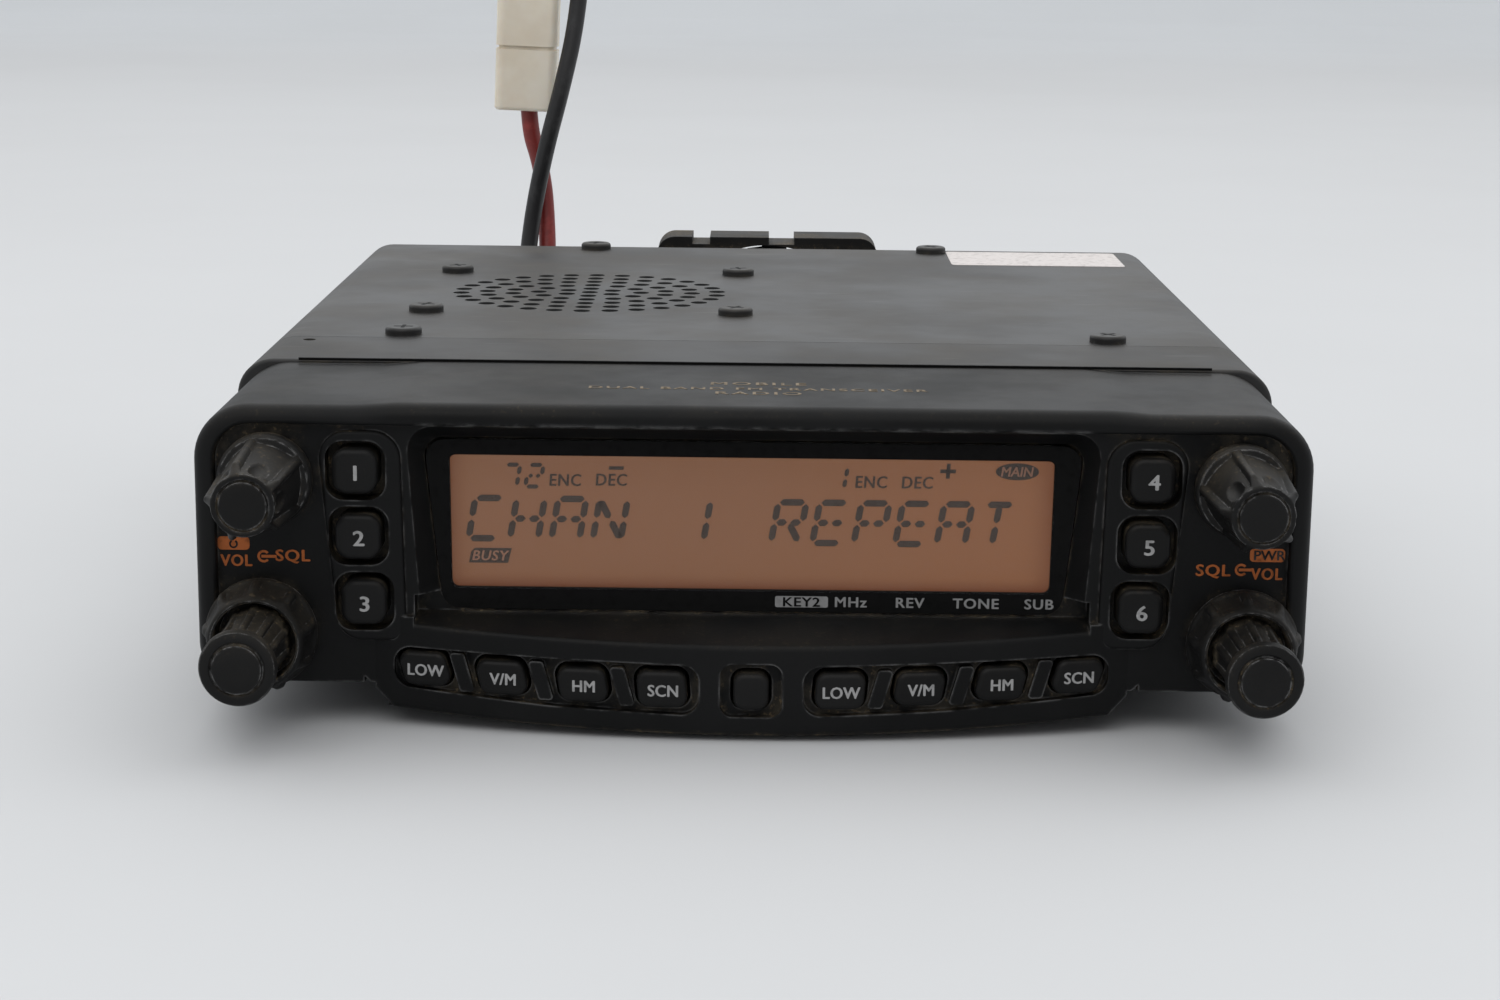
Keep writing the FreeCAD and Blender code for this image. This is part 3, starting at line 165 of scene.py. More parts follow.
def dust_group():
    """Dust and grime: packed into corners, and a thin film on what faces up."""
    group, start, end = new_group(
        "settled dust",
        [
            ("Float", "Corner reach", 0.003),
            ("Float", "Corners", 1.0),
            ("Float", "Film", 0.2),
            ("Float", "Patchiness", 220.0),
        ],
        [("Float", "Mask")],
    )
    corner = add(group, "AmbientOcclusion", samples=6)
    feed(group, corner, Distance=start.outputs["Corner reach"])
    closed = ramp(group, maths(group, "SUBTRACT", 1.0, corner.outputs["AO"]), 0.30, 0.85)
    clumps = ramp(group, noise(group, start.outputs["Patchiness"], 6.0, 0.7), 0.40, 0.70)
    packed = maths(group, "MULTIPLY", maths(group, "MULTIPLY", closed, clumps), start.outputs["Corners"])
    geometry = add(group, "NewGeometry")
    facing = add(group, "SeparateXYZ")
    feed(group, facing, Vector=geometry.outputs["Normal"])
    upward = ramp(group, facing.outputs["Z"], -0.1, 0.9)
    veil = ramp(group, noise(group, 55.0, 5.0, 0.62), 0.35, 0.75)
    film = maths(group, "MULTIPLY", maths(group, "MULTIPLY", upward, veil), start.outputs["Film"])
    mask = maths(group, "ADD", packed, film, clamp=True)
    group.links.new(mask, end.inputs["Mask"])
    return group


def smudge_group():
    """Handling marks: broad greasy patches and short fine scratches."""
    group, start, end = new_group(
        "smudges",
        [("Float", "Patch scale", 40.0), ("Float", "Scratch scale", 380.0)],
        [("Float", "Patches"), ("Float", "Scratches")],
    )
    patches = ramp(group, noise(group, start.outputs["Patch scale"], 4.0, 0.6), 0.35, 0.70)
    stretch = add(group, "Mapping")
    feed(group, stretch, Vector=add(group, "TexCoord").outputs["Object"], Scale=(0.25, 1.6, 1.0))
    stretch.inputs["Rotation"].default_value = (0.0, 0.0, 0.5)
    lines = noise(group, start.outputs["Scratch scale"], 2.0, 0.4, stretch.outputs["Vector"])
    scratches = ramp(group, lines, 0.66, 0.74)
    group.links.new(patches, end.inputs["Patches"])
    group.links.new(scratches, end.inputs["Scratches"])
    return group


GRAIN = grain_group()
WEAR = wear_group()
DUST = dust_group()
SMUDGES = smudge_group()


def effect(tree, group, **values):
    node = tree.nodes.new("ShaderNodeGroup")
    node.node_tree = group
    for key, value in values.items():
        node.inputs[key.replace("_", " ")].default_value = value
    return node


# ---------------------------------------------------------------- materials

DUST_TONE = (0.150, 0.125, 0.088, 1)
WORN_TONE = (0.10, 0.10, 0.098, 1)
CRUMB_TONE = (0.40, 0.29, 0.16, 1)
MOULDED_SPECULAR = 0.12


def new_material(name):
    material = bpy.data.materials.new(name)
    material.use_nodes = True
    tree = material.node_tree
    shader = tree.nodes["Principled BSDF"]
    return material, tree, shader


def blend_colour(tree, mask, below, above):
    node = add(tree, "Mix", data_type="RGBA")
    feed(tree, node, Factor=mask)
    for socket, source in ((node.inputs[6], below), (node.inputs[7], above)):
        if isinstance(source, bpy.types.NodeSocket):
            tree.links.new(source, socket)
        else:
            socket.default_value = source
    return node.outputs[2]


def blend_value(tree, mask, below, above):
    node = add(tree, "Mix", data_type="FLOAT")
    feed(tree, node, n0=mask, n2=below, n3=above)
    return node.outputs[0]


def moulded(
    name, tone, roughness=0.45, wear=0.7, corners=0.9, film=0.2, grain=0.00003,
    edge=0.0005, reach=0.003, worn=0.10, patches=300.0,
):
    """A worn, dusty moulding: base tone, rubbed edges, packed dust, fine grain."""
    material, tree, shader = new_material(name)
    shader.inputs["Specular IOR Level"].default_value = MOULDED_SPECULAR
    smudges = effect(tree, SMUDGES)
    edges = effect(tree, WEAR, Width=edge, Amount=wear, Patchiness=patches).outputs["Mask"]
    dusty = effect(tree, DUST, Corners=corners, Film=film, Corner_reach=reach).outputs["Mask"]
    lighter = tuple(min(1.0, 1.35 * value + 0.002) for value in tone[:3]) + (1,)
    body = blend_colour(tree, smudges.outputs["Patches"], tone, lighter)
    rubbed = blend_colour(tree, edges, body, grey(worn))
    dusted = blend_colour(tree, dusty, rubbed, DUST_TONE)
    crumbs = maths(tree, "MULTIPLY", ramp(tree, noise(tree, 1700.0, 2.0), 0.60, 0.68), dusty)
    tree.links.new(blend_colour(tree, crumbs, dusted, CRUMB_TONE), shader.inputs["Base Color"])
    gloss = blend_value(tree, smudges.outputs["Patches"], roughness - 0.06, roughness + 0.08)
    tree.links.new(blend_value(tree, dusty, gloss, 0.95), shader.inputs["Roughness"])
    bump = add(tree, "Bump")
    feed(tree, bump, Strength=0.5, Distance=grain, Height=effect(tree, GRAIN).outputs["Height"])
    tree.links.new(bump.outputs["Normal"], shader.inputs["Normal"])
    return material


def painted_steel(name, tone, roughness=0.42):
    """Satin paint on sheet steel, with greasy patches and faint scratches."""
    material, tree, shader = new_material(name)
    shader.inputs["Specular IOR Level"].default_value = 0.28
    smudges = effect(tree, SMUDGES, Patch_scale=26.0)
    worn = effect(tree, WEAR, Width=0.0004, Amount=0.55).outputs["Mask"]
    dusty = effect(tree, DUST, Corners=0.7, Film=0.16, Corner_reach=0.002).outputs["Mask"]
    lighter = tuple(1.25 * value for value in tone[:3]) + (1,)
    body = blend_colour(tree, smudges.outputs["Patches"], tone, lighter)
    scratches = maths(tree, "MULTIPLY", smudges.outputs["Scratches"], 0.35)
    scratched = blend_colour(tree, scratches, body, WORN_TONE)
    rubbed = blend_colour(tree, worn, scratched, WORN_TONE)
    tree.links.new(blend_colour(tree, dusty, rubbed, DUST_TONE), shader.inputs["Base Color"])
    gloss = blend_value(tree, smudges.outputs["Patches"], roughness, roughness + 0.16)
    tree.links.new(blend_value(tree, dusty, gloss, 0.9), shader.inputs["Roughness"])
    bump = add(tree, "Bump")
    grain = effect(tree, GRAIN, Grain_scale=1800.0).outputs["Height"]
    feed(tree, bump, Strength=0.35, Distance=0.00003, Height=grain)
    tree.links.new(bump.outputs["Normal"], shader.inputs["Normal"])
    return material


def metal(name, tone, roughness=0.3, tarnish=(0.12, 0.10, 0.08, 1), corners=0.5):
    """Plated or turned metal, tarnished in patches and grimy in its corners."""
    material, tree, shader = new_material(name)
    shader.inputs["Metallic"].default_value = 1.0
    smudges = effect(tree, SMUDGES, Patch_scale=150.0)
    dusty = effect(tree, DUST, Corners=corners, Film=0.1, Corner_reach=0.0015).outputs["Mask"]
    dull = tuple(0.72 * value for value in tone[:3]) + (1,)
    body = blend_colour(tree, smudges.outputs["Patches"], tone, dull)
    tree.links.new(blend_colour(tree, dusty, body, tarnish), shader.inputs["Base Color"])
    gloss = blend_value(tree, smudges.outputs["Patches"], roughness, roughness + 0.18)
    tree.links.new(gloss, shader.inputs["Roughness"])
    return material


def printed(name, tone, glow=0.0, fade=0.35, specular=0.3):
    """Screen-printed ink, a little worn through."""
    material, tree, shader = new_material(name)
    shader.inputs["Specular IOR Level"].default_value = specular
    faded = tuple((1 - fade) * value for value in tone[:3]) + (1,)
    patches = ramp(tree, noise(tree, 900.0, 3.0, 0.6), 0.45, 0.75)
    colour = blend_colour(tree, patches, tone, faded)
    tree.links.new(colour, shader.inputs["Base Color"])
    if glow:
        tree.links.new(colour, shader.inputs["Emission Color"])
        shader.inputs["Emission Strength"].default_value = glow
    tree.links.new(blend_value(tree, patches, 0.5, 0.7), shader.inputs["Roughness"])
    return material


def amber_display():
    """The lit display ground: amber, paler in the middle, redder and darker at its foot and sides."""
    material, tree, shader = new_material("display amber")
    place = add(tree, "SeparateXYZ")
    feed(tree, place, Vector=add(tree, "TexCoord").outputs["Object"])
    foot = ramp(tree, place.outputs["Z"], 15.9 * MM, 18.6 * MM)
    left = ramp(tree, place.outputs["X"], -39.6 * MM, -36.0 * MM)
    right = ramp(tree, maths(tree, "MULTIPLY", place.outputs["X"], -1.0), -39.2 * MM, -34.5 * MM)
    sides = maths(tree, "MULTIPLY", left, right)
    inside = maths(tree, "MULTIPLY", foot, maths(tree, "ADD", maths(tree, "MULTIPLY", sides, 0.6), 0.4))
    across = ramp(tree, place.outputs["X"], -10.0 * MM, 38.0 * MM)
    middle = blend_colour(tree, across, (0.50, 0.215, 0.095, 1), (0.55, 0.215, 0.080, 1))
    cloudy = ramp(tree, noise(tree, 45.0, 3.0), 0.3, 0.8)
    clouded = blend_colour(tree, maths(tree, "MULTIPLY", cloudy, 0.35), middle, (0.54, 0.245, 0.115, 1))
    colour = blend_colour(tree, inside, (0.30, 0.085, 0.028, 1), clouded)
    tree.links.new(blend_colour(tree, 0.9, colour, (0.0, 0.0, 0.0, 1)), shader.inputs["Base Color"])
    tree.links.new(colour, shader.inputs["Emission Color"])
    shader.inputs["Emission Strength"].default_value = 0.30
    tree.links.new(blend_value(tree, cloudy, 0.55, 0.7), shader.inputs["Roughness"])
    return material


def clear_window():
    """Clear acrylic with fine scratches; lit surfaces behind it still receive light."""
    material, tree, shader = new_material("window acrylic")
    shader.inputs["Transmission Weight"].default_value = 1.0
    shader.inputs["IOR"].default_value = 1.25
    shader.inputs["Base Color"].default_value = (0.96, 0.96, 0.97, 1)
    hazy = ramp(tree, noise(tree, 60.0, 5.0, 0.65), 0.45, 0.8)
    tree.links.new(blend_value(tree, hazy, 0.02, 0.06), shader.inputs["Roughness"])
    shadow = add(tree, "LightPath").outputs["Is Shadow Ray"]
    let_through = maths(tree, "MULTIPLY", shadow, 0.92)
    tree.links.new(maths(tree, "SUBTRACT", 1.0, let_through), shader.inputs["Alpha"])
    return material


def insulation(name, tone, roughness=0.42):
    """Wire insulation: soft plastic with scuffs along it."""
    material, tree, shader = new_material(name)
    scuffs = ramp(tree, noise(tree, 240.0, 5.0, 0.7), 0.5, 0.8)
    lighter = tuple(min(1.0, 1.6 * value + 0.02) for value in tone[:3]) + (1,)
    tree.links.new(blend_colour(tree, scuffs, tone, lighter), shader.inputs["Base Color"])
    tree.links.new(blend_value(tree, scuffs, roughness, roughness + 0.25), shader.inputs["Roughness"])
    bump = add(tree, "Bump")
    feed(tree, bump, Strength=0.4, Distance=0.00005, Height=noise(tree, 500.0, 3.0))
    tree.links.new(bump.outputs["Normal"], shader.inputs["Normal"])
    return material


def nylon():
    """Natural nylon: off-white, slightly translucent, yellowed and handled."""
    material, tree, shader = new_material("natural nylon")
    shader.inputs["Subsurface Weight"].default_value = 0.25
    shader.inputs["Subsurface Radius"].default_value = (0.002, 0.0015, 0.001)
    smudges = effect(tree, SMUDGES, Patch_scale=70.0)
    dusty = effect(tree, DUST, Corners=0.5, Film=0.1, Corner_reach=0.002).outputs["Mask"]
    body = blend_colour(tree, smudges.outputs["Patches"], (0.86, 0.80, 0.68, 1), (0.76, 0.68, 0.55, 1))
    tree.links.new(blend_colour(tree, dusty, body, (0.22, 0.17, 0.11, 1)), shader.inputs["Base Color"])
    tree.links.new(blend_value(tree, smudges.outputs["Patches"], 0.42, 0.6), shader.inputs["Roughness"])
    return material


def grey(value, tint=0.0):
    return (value - tint, value, value + tint, 1)


KNOB_WEAR = {
    "roughness": 0.5, "wear": 1.0, "corners": 1.0, "film": 0.22,
    "edge": 0.0004, "reach": 0.006, "worn": 0.26, "patches": 900.0,
}
PANEL = moulded(
    "panel moulding", grey(0.0050, 0.0002), roughness=0.46, wear=0.85, corners=0.6, film=0.05, worn=0.13
)
INSIDE = moulded("inner moulding", grey(0.006), roughness=0.55, wear=0.3, corners=0.4, film=0.1)
KNOBS = moulded("knob rubber", grey(0.0080), **KNOB_WEAR)
RINGS = moulded("ring moulding", grey(0.0075), **KNOB_WEAR)
KEYS = moulded("key moulding", grey(0.0070), roughness=0.38, wear=0.85, corners=0.6, film=0.05, edge=0.0004)
CAST = painted_steel("cast housing paint", grey(0.022, 0.0004), roughness=0.45)
COVERS = painted_steel("cover paint", grey(0.030, 0.0006), roughness=0.40)
SCREWS = painted_steel("blackened steel", grey(0.016), roughness=0.35)
FAN = moulded("fan moulding", grey(0.010), roughness=0.5, wear=0.3, corners=0.9, film=0.5)
SPEAKER_METAL = painted_steel("basket lacquer", grey(0.05), roughness=0.5)
CONE = moulded("cone pulp", grey(0.02), roughness=0.8, wear=0.0, corners=0.6, film=0.4, grain=0.0001)
BOARD = moulded("board lacquer", (0.02, 0.10, 0.05, 1), roughness=0.35, wear=0.0, corners=0.2, film=0.1)
PARTS = moulded("component bodies", grey(0.03), roughness=0.4, wear=0.2, corners=0.2, film=0.1)
STEEL = metal("plated steel", grey(0.55), roughness=0.3)
NICKEL = metal("dull nickel", (0.56, 0.53, 0.47, 1), roughness=0.28)
TURNED = metal("turned shaft", grey(0.6), roughness=0.25)
MODULE = metal("module lid", grey(0.5), roughness=0.35)
INSULATOR = moulded("white insulator", grey(0.62), roughness=0.4, wear=0.0, corners=0.4, film=0.1)
GROMMET = moulded("grommet rubber", grey(0.012), roughness=0.6, wear=0.2, corners=0.8, film=0.4)
RED_WIRE = insulation("red insulation", (0.19, 0.015, 0.012, 1))
BLACK_WIRE = insulation("black insulation", (0.010, 0.010, 0.011, 1))
NYLON = nylon()
WINDOW = clear_window()
DISPLAY = amber_display()
BORDER_INK = printed("border ink", grey(0.005), fade=0.2, specular=0.06)
SEGMENT_INK = printed("display segments", (0.040, 0.027, 0.019, 1), glow=0.3, fade=0.1)
LAMP_INK = printed("display lettering, lit", (0.20, 0.10, 0.06, 1), glow=0.4, fade=0.1)
LEGEND_INK = printed("pale legend ink", grey(0.36), fade=0.3)
GREY_INK = printed("grey legend ink", grey(0.25), fade=0.25)
ORANGE_INK = printed("orange legend ink", (0.40, 0.105, 0.020, 1), fade=0.45)
GOLD_INK = printed("faded gold ink", (0.16, 0.115, 0.06, 1), fade=0.6)
# Painted shade: near-black ink for the flat crosses that stand in for the screws' cross recesses.
RECESS_SHADE = printed("screw recess shadow", grey(0.003), fade=0.1, specular=0.05)
# Painted shadow: near-black ink for the strip that stands in for the shade in the panel joint.
SEAM_SHADOW_INK = printed("gasket foam", grey(0.006), fade=0.2, specular=0.05)
LABEL = printed("blank label", (0.62, 0.58, 0.56, 1), fade=0.25)

FINISHES = {
    PANEL: ["panel_shell"],
    INSIDE: [
        "panel_back", "contact_block", "contact_plug", "release_button",
        "mic_jack", "data_jack", "speaker_jack",
    ],
    KNOBS: ["dial_knob_left", "dial_knob_right", "volume_knob_left", "volume_knob_right"],
    RINGS: ["squelch_ring_left", "squelch_ring_right"],
    KEYS: PANEL_KEYS + [f"key_{name}_{hand}" for name in LOW_KEYS for hand in HANDS] + ["key_set"],
    CAST: ["chassis"],
    COVERS: ["top_cover", "bottom_cover"],
    SCREWS: ["housing_screws"],
    FAN: ["fan_frame", "fan_rotor"],
    SPEAKER_METAL: ["speaker_frame"],
    CONE: ["speaker_cone"],
    BOARD: ["main_board", "panel_board"],
    PARTS: ["board_parts"],
    STEEL: ["board_screws", "panel_screws", "key_switches", "dial_encoders", "volume_pots"],
    NICKEL: ["antenna_socket"],
    TURNED: ["dial_shaft_left", "dial_shaft_right", "volume_shaft_left", "volume_shaft_right"],
    MODULE: ["rf_module"],
    INSULATOR: ["antenna_core"],
    GROMMET: ["dc_grommet"],
    RED_WIRE: ["lead_red"],
    BLACK_WIRE: ["lead_black"],
    NYLON: ["fuse_holder", "power_plug"],
    WINDOW: ["window_lens"],
    DISPLAY: ["lcd_glass", "light_guide"],
}
for finish, members in FINISHES.items():
    for member in members:
        nodes[member].data.materials.clear()
        nodes[member].data.materials.append(finish)

# ---------------------------------------------------------------- mesh helpers


def piece(name, mesh, body, material):
    """A finished mesh, in millimetres, becomes a piece that rides on a body."""
    mesh.transform(Matrix.Scale(MM, 4))
    mesh.materials.clear()
    mesh.materials.append(material)
    item = bpy.data.objects.new(name, mesh)
    bpy.context.scene.collection.objects.link(item)
    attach(item, body)
    return item


def flat_shapes(name, outlines, thickness, place=None):
    """Flat shapes with a little thickness: outlines of (x, z) points, drawn facing -Y, at y = 0."""
    shapes = bmesh.new()
    for points in outlines:
        corners = [shapes.verts.new((x, 0.0, z)) for x, z in points]
        face = shapes.faces.new(corners)
        face.normal_update()
        if face.normal.y > 0:
            face.normal_flip()
        grown = bmesh.ops.extrude_face_region(shapes, geom=[face])
        fresh = [item for item in grown["geom"] if isinstance(item, bmesh.types.BMVert)]
        bmesh.ops.translate(shapes, verts=fresh, vec=(0, -thickness, 0))
    bmesh.ops.recalc_face_normals(shapes, faces=shapes.faces)
    mesh = bpy.data.meshes.new(name)
    shapes.to_mesh(mesh)
    shapes.free()
    if place:
        mesh.transform(place)
    return mesh


def glyphs(words, spacing=1.0):
    """Plain lettering in the font's own units, lying in x and y with its baseline at zero."""
    curve = bpy.data.curves.new("lettering", "FONT")
    curve.body = words
    curve.size = 1.0
    curve.space_character = spacing
    curve.resolution_u = 3
    curve.fill_mode = "BOTH"
    curve.extrude = 0.0001
    item = bpy.data.objects.new("lettering", curve)
    bpy.context.scene.collection.objects.link(item)
    bpy.context.view_layer.update()
    mesh = bpy.data.meshes.new_from_object(item.evaluated_get(bpy.context.evaluated_depsgraph_get()))
    bpy.data.objects.remove(item)
    bpy.data.curves.remove(curve)
    return mesh


CAPITAL = max(vertex.co.y for vertex in glyphs("H").vertices)


def letters(words, height, width=1.0, slant=0.0, bold=0.0, spacing=1.0, thickness=0.03):
    """Lettering facing -Y, its capitals `height` tall, centred on the origin, thickened by `bold` mm."""
    mesh = glyphs(words, spacing)
    xs = [vertex.co.x for vertex in mesh.vertices]
    zs = [vertex.co.z for vertex in mesh.vertices]
    scale = height / CAPITAL
    middle = (max(xs) + min(xs)) / 2
    deep = max(zs) - min(zs)
    for vertex in mesh.vertices:
        x, y, z = vertex.co
        up = (y - CAPITAL / 2) * scale
        vertex.co = ((x - middle) * scale * width + slant * up, -(z - min(zs)) / deep * thickness, up)
    if not bold:
        return mesh
    copies = [mesh]
    shifts = ((bold, 0.0), (-bold, 0.0), (0.0, bold / 2), (0.0, -bold / 2))
    for layer, (aside, over) in enumerate(shifts, start=1):
        copies.append(moved(mesh.copy(), aside, -LAYER_STEP * layer, over))
    return joined(mesh.name, copies)


def moved(mesh, x, y, z):
    mesh.transform(Matrix.Translation((x, y, z)))
    return mesh


def joined(name, meshes):
    """Several meshes as one."""
    total = bmesh.new()
    for mesh in meshes:
        total.from_mesh(mesh)
        bpy.data.meshes.remove(mesh)
    mesh = bpy.data.meshes.new(name)
    total.to_mesh(mesh)
    total.free()
    return mesh


def rounded_outline(corners, radius, steps=6):
    """The (x, z) points of a polygon whose corners are rounded."""
    points = []
    count = len(corners)
    for index, corner in enumerate(corners):
        here = Vector(corner)
        before = (Vector(corners[index - 1]) - here).normalized()
        after = (Vector(corners[(index + 1) % count]) - here).normalized()
        half = before.angle(after) / 2
        reach = radius / math.tan(half)
        centre = here + (before + after).normalized() * (radius / math.sin(half))
        first, last = here + before * reach, here + after * reach
        start = math.atan2(first.y - centre.y, first.x - centre.x)
        turn = math.atan2(last.y - centre.y, last.x - centre.x) - start
        turn = (turn + math.pi) % (2 * math.pi) - math.pi
        for step in range(steps + 1):
            angle = start + turn * step / steps
            points.append((centre.x + radius * math.cos(angle), centre.y + radius * math.sin(angle)))
    return points


def ring_shape(name, outer, inner, thickness):
    """A flat frame between two outlines with the same number of points."""
    band = bmesh.new()
    layers = []
    for y in (0.0, -thickness):
        layers.append([[band.verts.new((x, y, z)) for x, z in outline] for outline in (outer, inner)])
    count = len(outer)
    for index in range(count):
        after = (index + 1) % count
        for back, front in ((layers[0], layers[1]),):
            band.faces.new([front[0][index], front[0][after], front[1][after], front[1][index]])
            band.faces.new([back[1][index], back[1][after], back[0][after], back[0][index]])
            band.faces.new([back[0][index], back[0][after], front[0][after], front[0][index]])
            band.faces.new([front[1][index], front[1][after], back[1][after], back[1][index]])
    bmesh.ops.recalc_face_normals(band, faces=band.faces)
    mesh = bpy.data.meshes.new(name)
    band.to_mesh(mesh)
    band.free()
    return mesh


# ---------------------------------------------------------------- window, display and legends

INK_THICK = 0.03
LOZENGE_HALF = 0.85
CODE_WORDS = (("ENC", -23.85, 30.65), ("DEC", -18.0, 30.75), ("ENC", 14.95, 30.85), ("DEC", 20.8, 30.85))
BORDER_SPREAD = 1.004
WINDOW_CORNERS = ((-38.9, 14.75), (38.9, 14.75), (41.15, 36.5), (-41.15, 36.5))
BORDER_CORNERS = tuple((x * BORDER_SPREAD, z) for x, z in WINDOW_CORNERS)
OPEN_CORNERS = ((-38.0, 17.35), (37.6, 17.35), (37.8, 34.55), (-38.2, 34.55))


def window_border():
    """The black print on both faces of the window, with the row of legends under the display."""
    outer = rounded_outline(BORDER_CORNERS, 2.4)
    inner = rounded_outline(OPEN_CORNERS, 0.9)
    frame_mesh = moved(ring_shape("window_border", outer, inner, 0.04), 0, BORDER, 0)
    behind = moved(ring_shape("window_border_behind", outer, inner, 0.04), 0, LENS_HIGH.y + 0.06, 0)
    piece("window_border", joined("window_border", [frame_mesh, behind]), "front_panel", BORDER_INK)
    row = []
    for words, x in (("MHz", 12.5), ("REV", 20.0), ("TONE", 28.3), ("SUB", 36.3)):
        row.append(moved(letters(words, 1.25, width=1.1, bold=0.05, spacing=1.12), x, BORDER - 0.05, 16.1))
    box_corners = ((2.9, 15.35), (9.6, 15.35), (9.6, 16.8), (2.9, 16.8))
    box = flat_shapes("box", [rounded_outline(box_corners, 0.25, 3)], INK_THICK)
    row.append(moved(box, 0, BORDER - 0.05, 0))
    piece("window_legends", joined("window_legends", row), "front_panel", GREY_INK)
    inverse = moved(letters("KEY2", 1.15, width=1.2, bold=0.05, spacing=1.08), 6.25, BORDER - 0.09, 16.07)
    piece("window_legend_inverse", inverse, "front_panel", BORDER_INK)


CELL_WIDE, CELL_TALL, CELL_LEAN = 3.55, 5.25, 0.17
LETTER_SEGMENTS = {
    "C": "afed", "H": "febcgk", "A": "abcefgk", "N": "febchm", "1": "bc", "R": "abefgkm",
    "E": "adefgk", "P": "abefgk", "T": "ail", "2": "abgked", "7": "abc",
}


def bar(first, last, width, gap):
    """A display bar between two points, with pointed ends."""
    a, b = Vector(first), Vector(last)
    along = (b - a).normalized()
    side = Vector((-along.y, along.x)) * width / 2
    a, b = a + along * gap, b - along * gap
    tip = along * width * 0.45
    return [a, a + tip + side, b - tip + side, b, b - tip - side, a + tip - side]


def character(letter, wide, tall, width):
    """The lit bars of one character, from its lower left corner."""
    half = tall / 2
    middle = wide / 2
    places = {
        "a": ((0, tall), (wide, tall)), "b": ((wide, half), (wide, tall)), "c": ((wide, 0), (wide, half)),
        "d": ((0, 0), (wide, 0)), "e": ((0, 0), (0, half)), "f": ((0, half), (0, tall)),
        "g": ((0, half), (middle, half)), "k": ((middle, half), (wide, half)),
        "h": ((0, tall), (middle, half)), "m": ((middle, half), (wide, 0)),
        "i": ((middle, half), (middle, tall)), "l": ((middle, 0), (middle, half)),
    }
    return [bar(*places[key], width, 0.16 * width + 0.05) for key in LETTER_SEGMENTS[letter]]


def display_words(words, x, z, wide, tall, pitch, width):
    shapes = []
    for index, letter in enumerate(words):
        if letter == " ":
            continue
        for outline in character(letter, wide, tall, width):
            shapes.append([(x + index * pitch + p.x + CELL_LEAN * p.y, z + p.y) for p in outline])
    return shapes


def display_marks():
    """What the display shows: two channel names, two numbers and their small marks."""
    shapes = display_words("CHAN 1", -36.2, 22.95, CELL_WIDE, CELL_TALL, 5.27, 0.86)
    shapes += display_words("REPEAT", 2.3, 22.85, CELL_WIDE, CELL_TALL, 5.27, 0.86)
    shapes += display_words("72", -31.9, 29.75, 1.85, 2.8, 2.95, 0.55)
    shapes += display_words("1", 9.6, 29.95, 1.85, 2.8, 2.95, 0.55)
    shapes.append([(-18.4, 32.05), (-16.5, 32.05), (-16.4, 32.5), (-18.3, 32.5)])
    shapes.append([(23.6, 32.1), (25.6, 32.1), (25.65, 32.6), (23.65, 32.6)])
    shapes.append([(24.35, 31.4), (24.85, 31.4), (24.95, 33.35), (24.45, 33.35)])
    shapes.append([(-36.2, 19.75), (-31.2, 19.75), (-30.7, 21.7), (-35.4, 21.7), (-35.9, 21.2)])
    oval = []
    for step in range(40):
        angle = 2 * math.pi * step / 40
        oval.append((33.4 + 2.75 * math.cos(angle), 32.4 + 1.1 * math.sin(angle)))
    shapes.append(oval)
    bars = moved(flat_shapes("display_segments", shapes, 0.03), 0, SEGMENTS, 0)
    small = []
    for words, x, z in CODE_WORDS:
        word = letters(words, 1.5, width=0.9, slant=0.06, bold=0.06, spacing=1.1)
        small.append(moved(word, x, SEGMENTS, z))
    marks = joined("display_segments", [bars] + small)
    piece("display_segments", marks, "front_panel", SEGMENT_INK)
    busy = letters("BUSY", 1.25, width=1.0, slant=0.2, bold=0.04, spacing=1.1)
    lit = [moved(busy, -33.4, SEGMENTS - 0.05, 20.72)]
    chosen = letters("MAIN", 1.2, width=0.95, slant=0.15, bold=0.04, spacing=1.0)
    lit.append(moved(chosen, 33.4, SEGMENTS - 0.05, 32.4))
    piece("display_inverse", joined("display_inverse", lit), "front_panel", LAMP_INK)


def key_legends():
    """Numbers on the upper keys and words on the lower ones."""
    for index, key in enumerate(PANEL_KEYS, start=1):
        low, high = span(key)
        middle = (low + high) / 2
        digit = letters(str(index), 1.85, width=1.1, bold=0.08)
        digit = moved(digit, middle.x + 0.15, low.y - 0.005, middle.z - 0.1)
        piece(f"{key}_legend", digit, key + "_cap", LEGEND_INK)
    words = {"low": "LOW", "vm": "V/M", "hm": "HM", "scan": "SCN"}
    for hand in HANDS:
        for name in LOW_KEYS:
            key = f"key_{name}_{hand}"
            low, high = span(key)
            middle = (low + high) / 2
            legend = letters(words[name], 1.42, width=0.95, bold=0.06, spacing=1.04)
            wrap_on_bow(legend, middle.x + 0.15, middle.z - 0.05)
            piece(f"{key}_legend", legend, key + "_cap", LEGEND_INK)


CHIN_HALF, CHIN_REACH, CHIN_PROUD = 47.5, 5.8, 0.75
BOW_RADIUS = (CHIN_HALF**2 + CHIN_REACH**2) / (2 * CHIN_REACH)


def bow_front(x):
    """Y of the lower keys' bowed fronts at x."""
    inward = math.sqrt((BOW_RADIUS + CHIN_PROUD) ** 2 - x * x)
    return RIM + BOW_RADIUS - (CHIN_REACH - 1.4) - inward


def wrap_on_bow(mesh, x, z):
    for vertex in mesh.vertices:
        place = x + vertex.co.x
        vertex.co = (place, bow_front(place) + vertex.co.y - 0.005, z + vertex.co.z)


